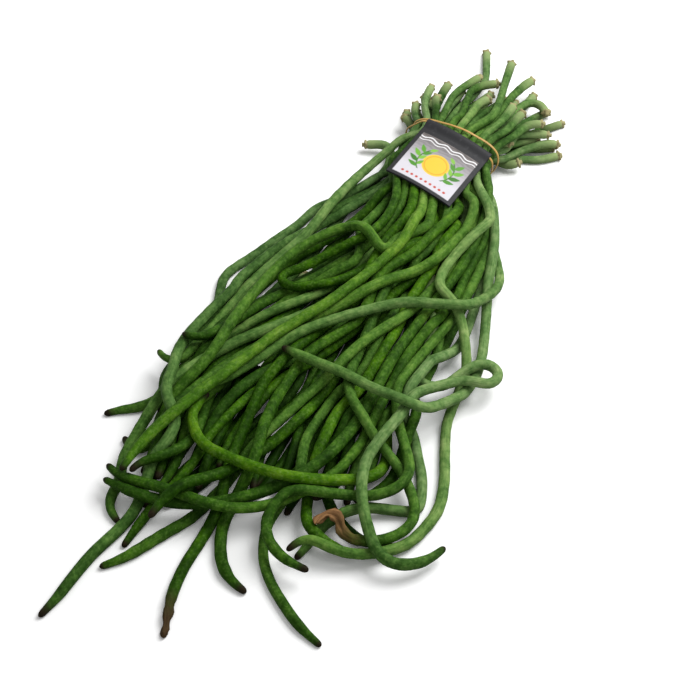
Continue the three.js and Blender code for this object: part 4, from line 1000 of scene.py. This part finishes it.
def pod_skin():
    material, tree, skin = new_material("bean_pod_skin")
    value = skin_values(tree)
    shade = skin_shade(tree, value)
    colour = green_of(tree, shade, value["cool"])
    for share, over in skin_layers(tree, value, shade):
        colour = add(tree, "Mix", {SHARE: share, LOW: colour, HIGH: over},
                     data_type="RGBA").outputs[MIXED]
    tree.links.new(colour, skin.inputs["Base Color"])
    dull = add(tree, "MapRange", {"Value": value["patches"], "To Min": SKIN_DULL[0],
                                  "To Max": SKIN_DULL[1]}).outputs["Result"]
    tree.links.new(dull, skin.inputs["Roughness"])
    tree.links.new(skin_bump(tree, value), skin.inputs["Normal"])
    skin.inputs["Specular IOR Level"].default_value = WAX_SHINE
    skin.inputs["Specular Tint"].default_value = paint(WAX_TINT)
    return material


skin_material = pod_skin()
for pod in pods:
    pod.data.materials.append(skin_material)
print("material:", skin_material.name)

# %% [markdown]
# ## Natural rubber
#
# The elastic is honey-coloured natural rubber, drawn as a tube, sliced into bands
# and dull from handling. One flat colour would look like plastic, so the colour
# clouds over about 6 mm, by a noise. The dust on it is finer than 0.1 mm, and is
# drawn at 0.7 mm so that it shows.

# %% Elastic's material
CLOUDS = 160
CLOUD_DETAIL = 3
HONEY = ("#a87a34", "#d9b468")
DUST = 1500
DUST_BUMP = 0.3
DUST_RELIEF = 0.05 * MM
RUBBER_DULL = 0.48


def natural_rubber():
    material, tree, rubber = new_material("natural_rubber")
    place = add(tree, "TexCoord").outputs["Object"]
    cloud = add(tree, "TexNoise", {"Vector": place, "Scale": CLOUDS,
                                   "Detail": CLOUD_DETAIL}).outputs["Fac"]
    honey = add(tree, "Mix", {SHARE: cloud, LOW: paint(HONEY[0]), HIGH: paint(HONEY[1])},
                data_type="RGBA").outputs[MIXED]
    tree.links.new(honey, rubber.inputs["Base Color"])
    dust = add(tree, "TexNoise", {"Vector": place, "Scale": DUST}).outputs["Fac"]
    bump = add(tree, "Bump", {"Height": dust, "Strength": DUST_BUMP, "Distance": DUST_RELIEF})
    tree.links.new(bump.outputs["Normal"], rubber.inputs["Normal"])
    rubber.inputs["Roughness"].default_value = RUBBER_DULL
    return material


elastic.data.materials.append(natural_rubber())
print("material:", elastic.data.materials[0].name)

# %% [markdown]
# ## Coated card
#
# The card is printed and then matt-laminated. The film is smooth plastic with a
# soft sheen, scuffed pale here and there in patches of about 4 mm. A scanned scuff
# could be laid over it, but one noise does as well: both the colour and the
# roughness follow it, so a scuff is paler and duller in the same place.

# %% Card's material
SCUFFS = 240
SCUFF_DETAIL = 6
SCUFF_FROM = 0.55
SCUFF_FULL = 0.8
SCUFF_SHOWS = 0.12
SCUFF_GREY = "#8a8a8e"
CARD_DULL = (0.5, 0.68)
CARD_SHINE = 0.3


def coated_card():
    material, tree, card_face = new_material("coated_card")
    printed = add(tree, "Attribute", attribute_name="printed").outputs["Color"]
    place = add(tree, "TexCoord").outputs["Object"]
    scuffs = add(tree, "TexNoise", {"Vector": place, "Scale": SCUFFS,
                                    "Detail": SCUFF_DETAIL}).outputs["Fac"]
    worn = add(tree, "MapRange", {"Value": scuffs, "From Min": SCUFF_FROM, "From Max": SCUFF_FULL,
                                  "To Max": SCUFF_SHOWS}).outputs["Result"]
    face = add(tree, "Mix", {SHARE: worn, LOW: printed, HIGH: paint(SCUFF_GREY)},
               data_type="RGBA").outputs[MIXED]
    tree.links.new(face, card_face.inputs["Base Color"])
    sheen = add(tree, "MapRange", {"Value": scuffs, "To Min": CARD_DULL[0],
                                   "To Max": CARD_DULL[1]})
    tree.links.new(sheen.outputs["Result"], card_face.inputs["Roughness"])
    card_face.inputs["Specular IOR Level"].default_value = CARD_SHINE
    return material


card.data.materials.append(coated_card())
print("materials:", [m.name for m in bpy.data.materials])

# %% [markdown]
# ## Table
#
# The bunch is shown on a white table. A white table lights the undersides of the
# beans too much, so for all rays but the camera's it is a mid grey. Seen by the
# camera it is white, and glows more with distance, so that it meets the white sky
# without an edge.

# %% Table
TABLE_SIZE = 3.0
BOARD_GREY = 0.4
BOARD_DULL = 0.9
SEEN_WHITE = 1.1
GLOW_FROM = 0.4
GLOW_FULL = 1.2
GLOW_LEAST = 0.04
GLOW_MOST = 1.0


def white_table():
    material, tree, board = new_material("white_table")
    board.inputs["Base Color"].default_value = (BOARD_GREY, BOARD_GREY, BOARD_GREY, 1)
    board.inputs["Roughness"].default_value = BOARD_DULL
    pale = add(tree, "BsdfDiffuse", {"Color": (SEEN_WHITE, SEEN_WHITE, SEEN_WHITE, 1)})
    place = add(tree, "TexCoord").outputs["Object"]
    away = add(tree, "VectorMath", {0: place}, operation="LENGTH").outputs["Value"]
    far = add(tree, "MapRange", {"Value": away, "From Min": GLOW_FROM, "From Max": GLOW_FULL,
                                 "To Min": GLOW_LEAST, "To Max": GLOW_MOST}).outputs["Result"]
    glow = add(tree, "Emission", {"Color": (1, 1, 1, 1), "Strength": far})
    both = add(tree, "AddShader", {0: pale.outputs[0], 1: glow.outputs[0]})
    seen = add(tree, "LightPath").outputs["Is Camera Ray"]
    mix = add(tree, "MixShader", {0: seen, 1: board.outputs[0], 2: both.outputs[0]})
    tree.links.new(mix.outputs[0], tree.nodes["Material Output"].inputs["Surface"])
    return material


def make_table():
    sheet = bmesh.new()
    bmesh.ops.create_grid(sheet, x_segments=1, y_segments=1, size=TABLE_SIZE)
    mesh = bpy.data.meshes.new("table")
    sheet.to_mesh(mesh)
    sheet.free()
    mesh.materials.append(white_table())
    table = put_in_scene("table", mesh)
    return table


print("table:", make_table().name)

# %% [markdown]
# ## Light
#
# The light is that of a bright room: an even white sky, with one broad window above
# the bunch, beyond the stem ends and to the right. A sun lamp would draw hard edges
# between the beans, and a broad area lamp keeps the shadows soft. The camera sees
# the sky as plain white.

# %% Sky and lamp
SKY_STRENGTH = 0.48
WINDOW_FROM_AIM = Vector((0.5, 0.6, 1.05))
WINDOW_WATTS = 17
WINDOW_SIZE = 0.9


def make_sky():
    world = bpy.data.worlds.new("bright_room")
    bpy.context.scene.world = world
    world.use_nodes = True
    tree = world.node_tree
    tree.nodes.clear()
    rays = add(tree, "LightPath")
    room = add(tree, "Background", {"Color": (1, 1, 1, 1), "Strength": SKY_STRENGTH})
    white = add(tree, "Background", {"Color": (1, 1, 1, 1), "Strength": 1})
    mix = add(tree, "MixShader", {0: rays.outputs["Is Camera Ray"], 1: room.outputs[0],
                                  2: white.outputs[0]})
    out = add(tree, "OutputWorld")
    tree.links.new(mix.outputs[0], out.inputs["Surface"])


def make_window():
    lamp = put_in_scene("window", bpy.data.lights.new("window", "AREA"))
    lamp.data.energy = WINDOW_WATTS
    lamp.data.size = WINDOW_SIZE
    lamp.location = aim + WINDOW_FROM_AIM
    lamp.rotation_euler = (-WINDOW_FROM_AIM).to_track_quat("-Z", "Y").to_euler()


make_sky()
make_window()
bpy.context.scene.view_settings.view_transform = "Standard"
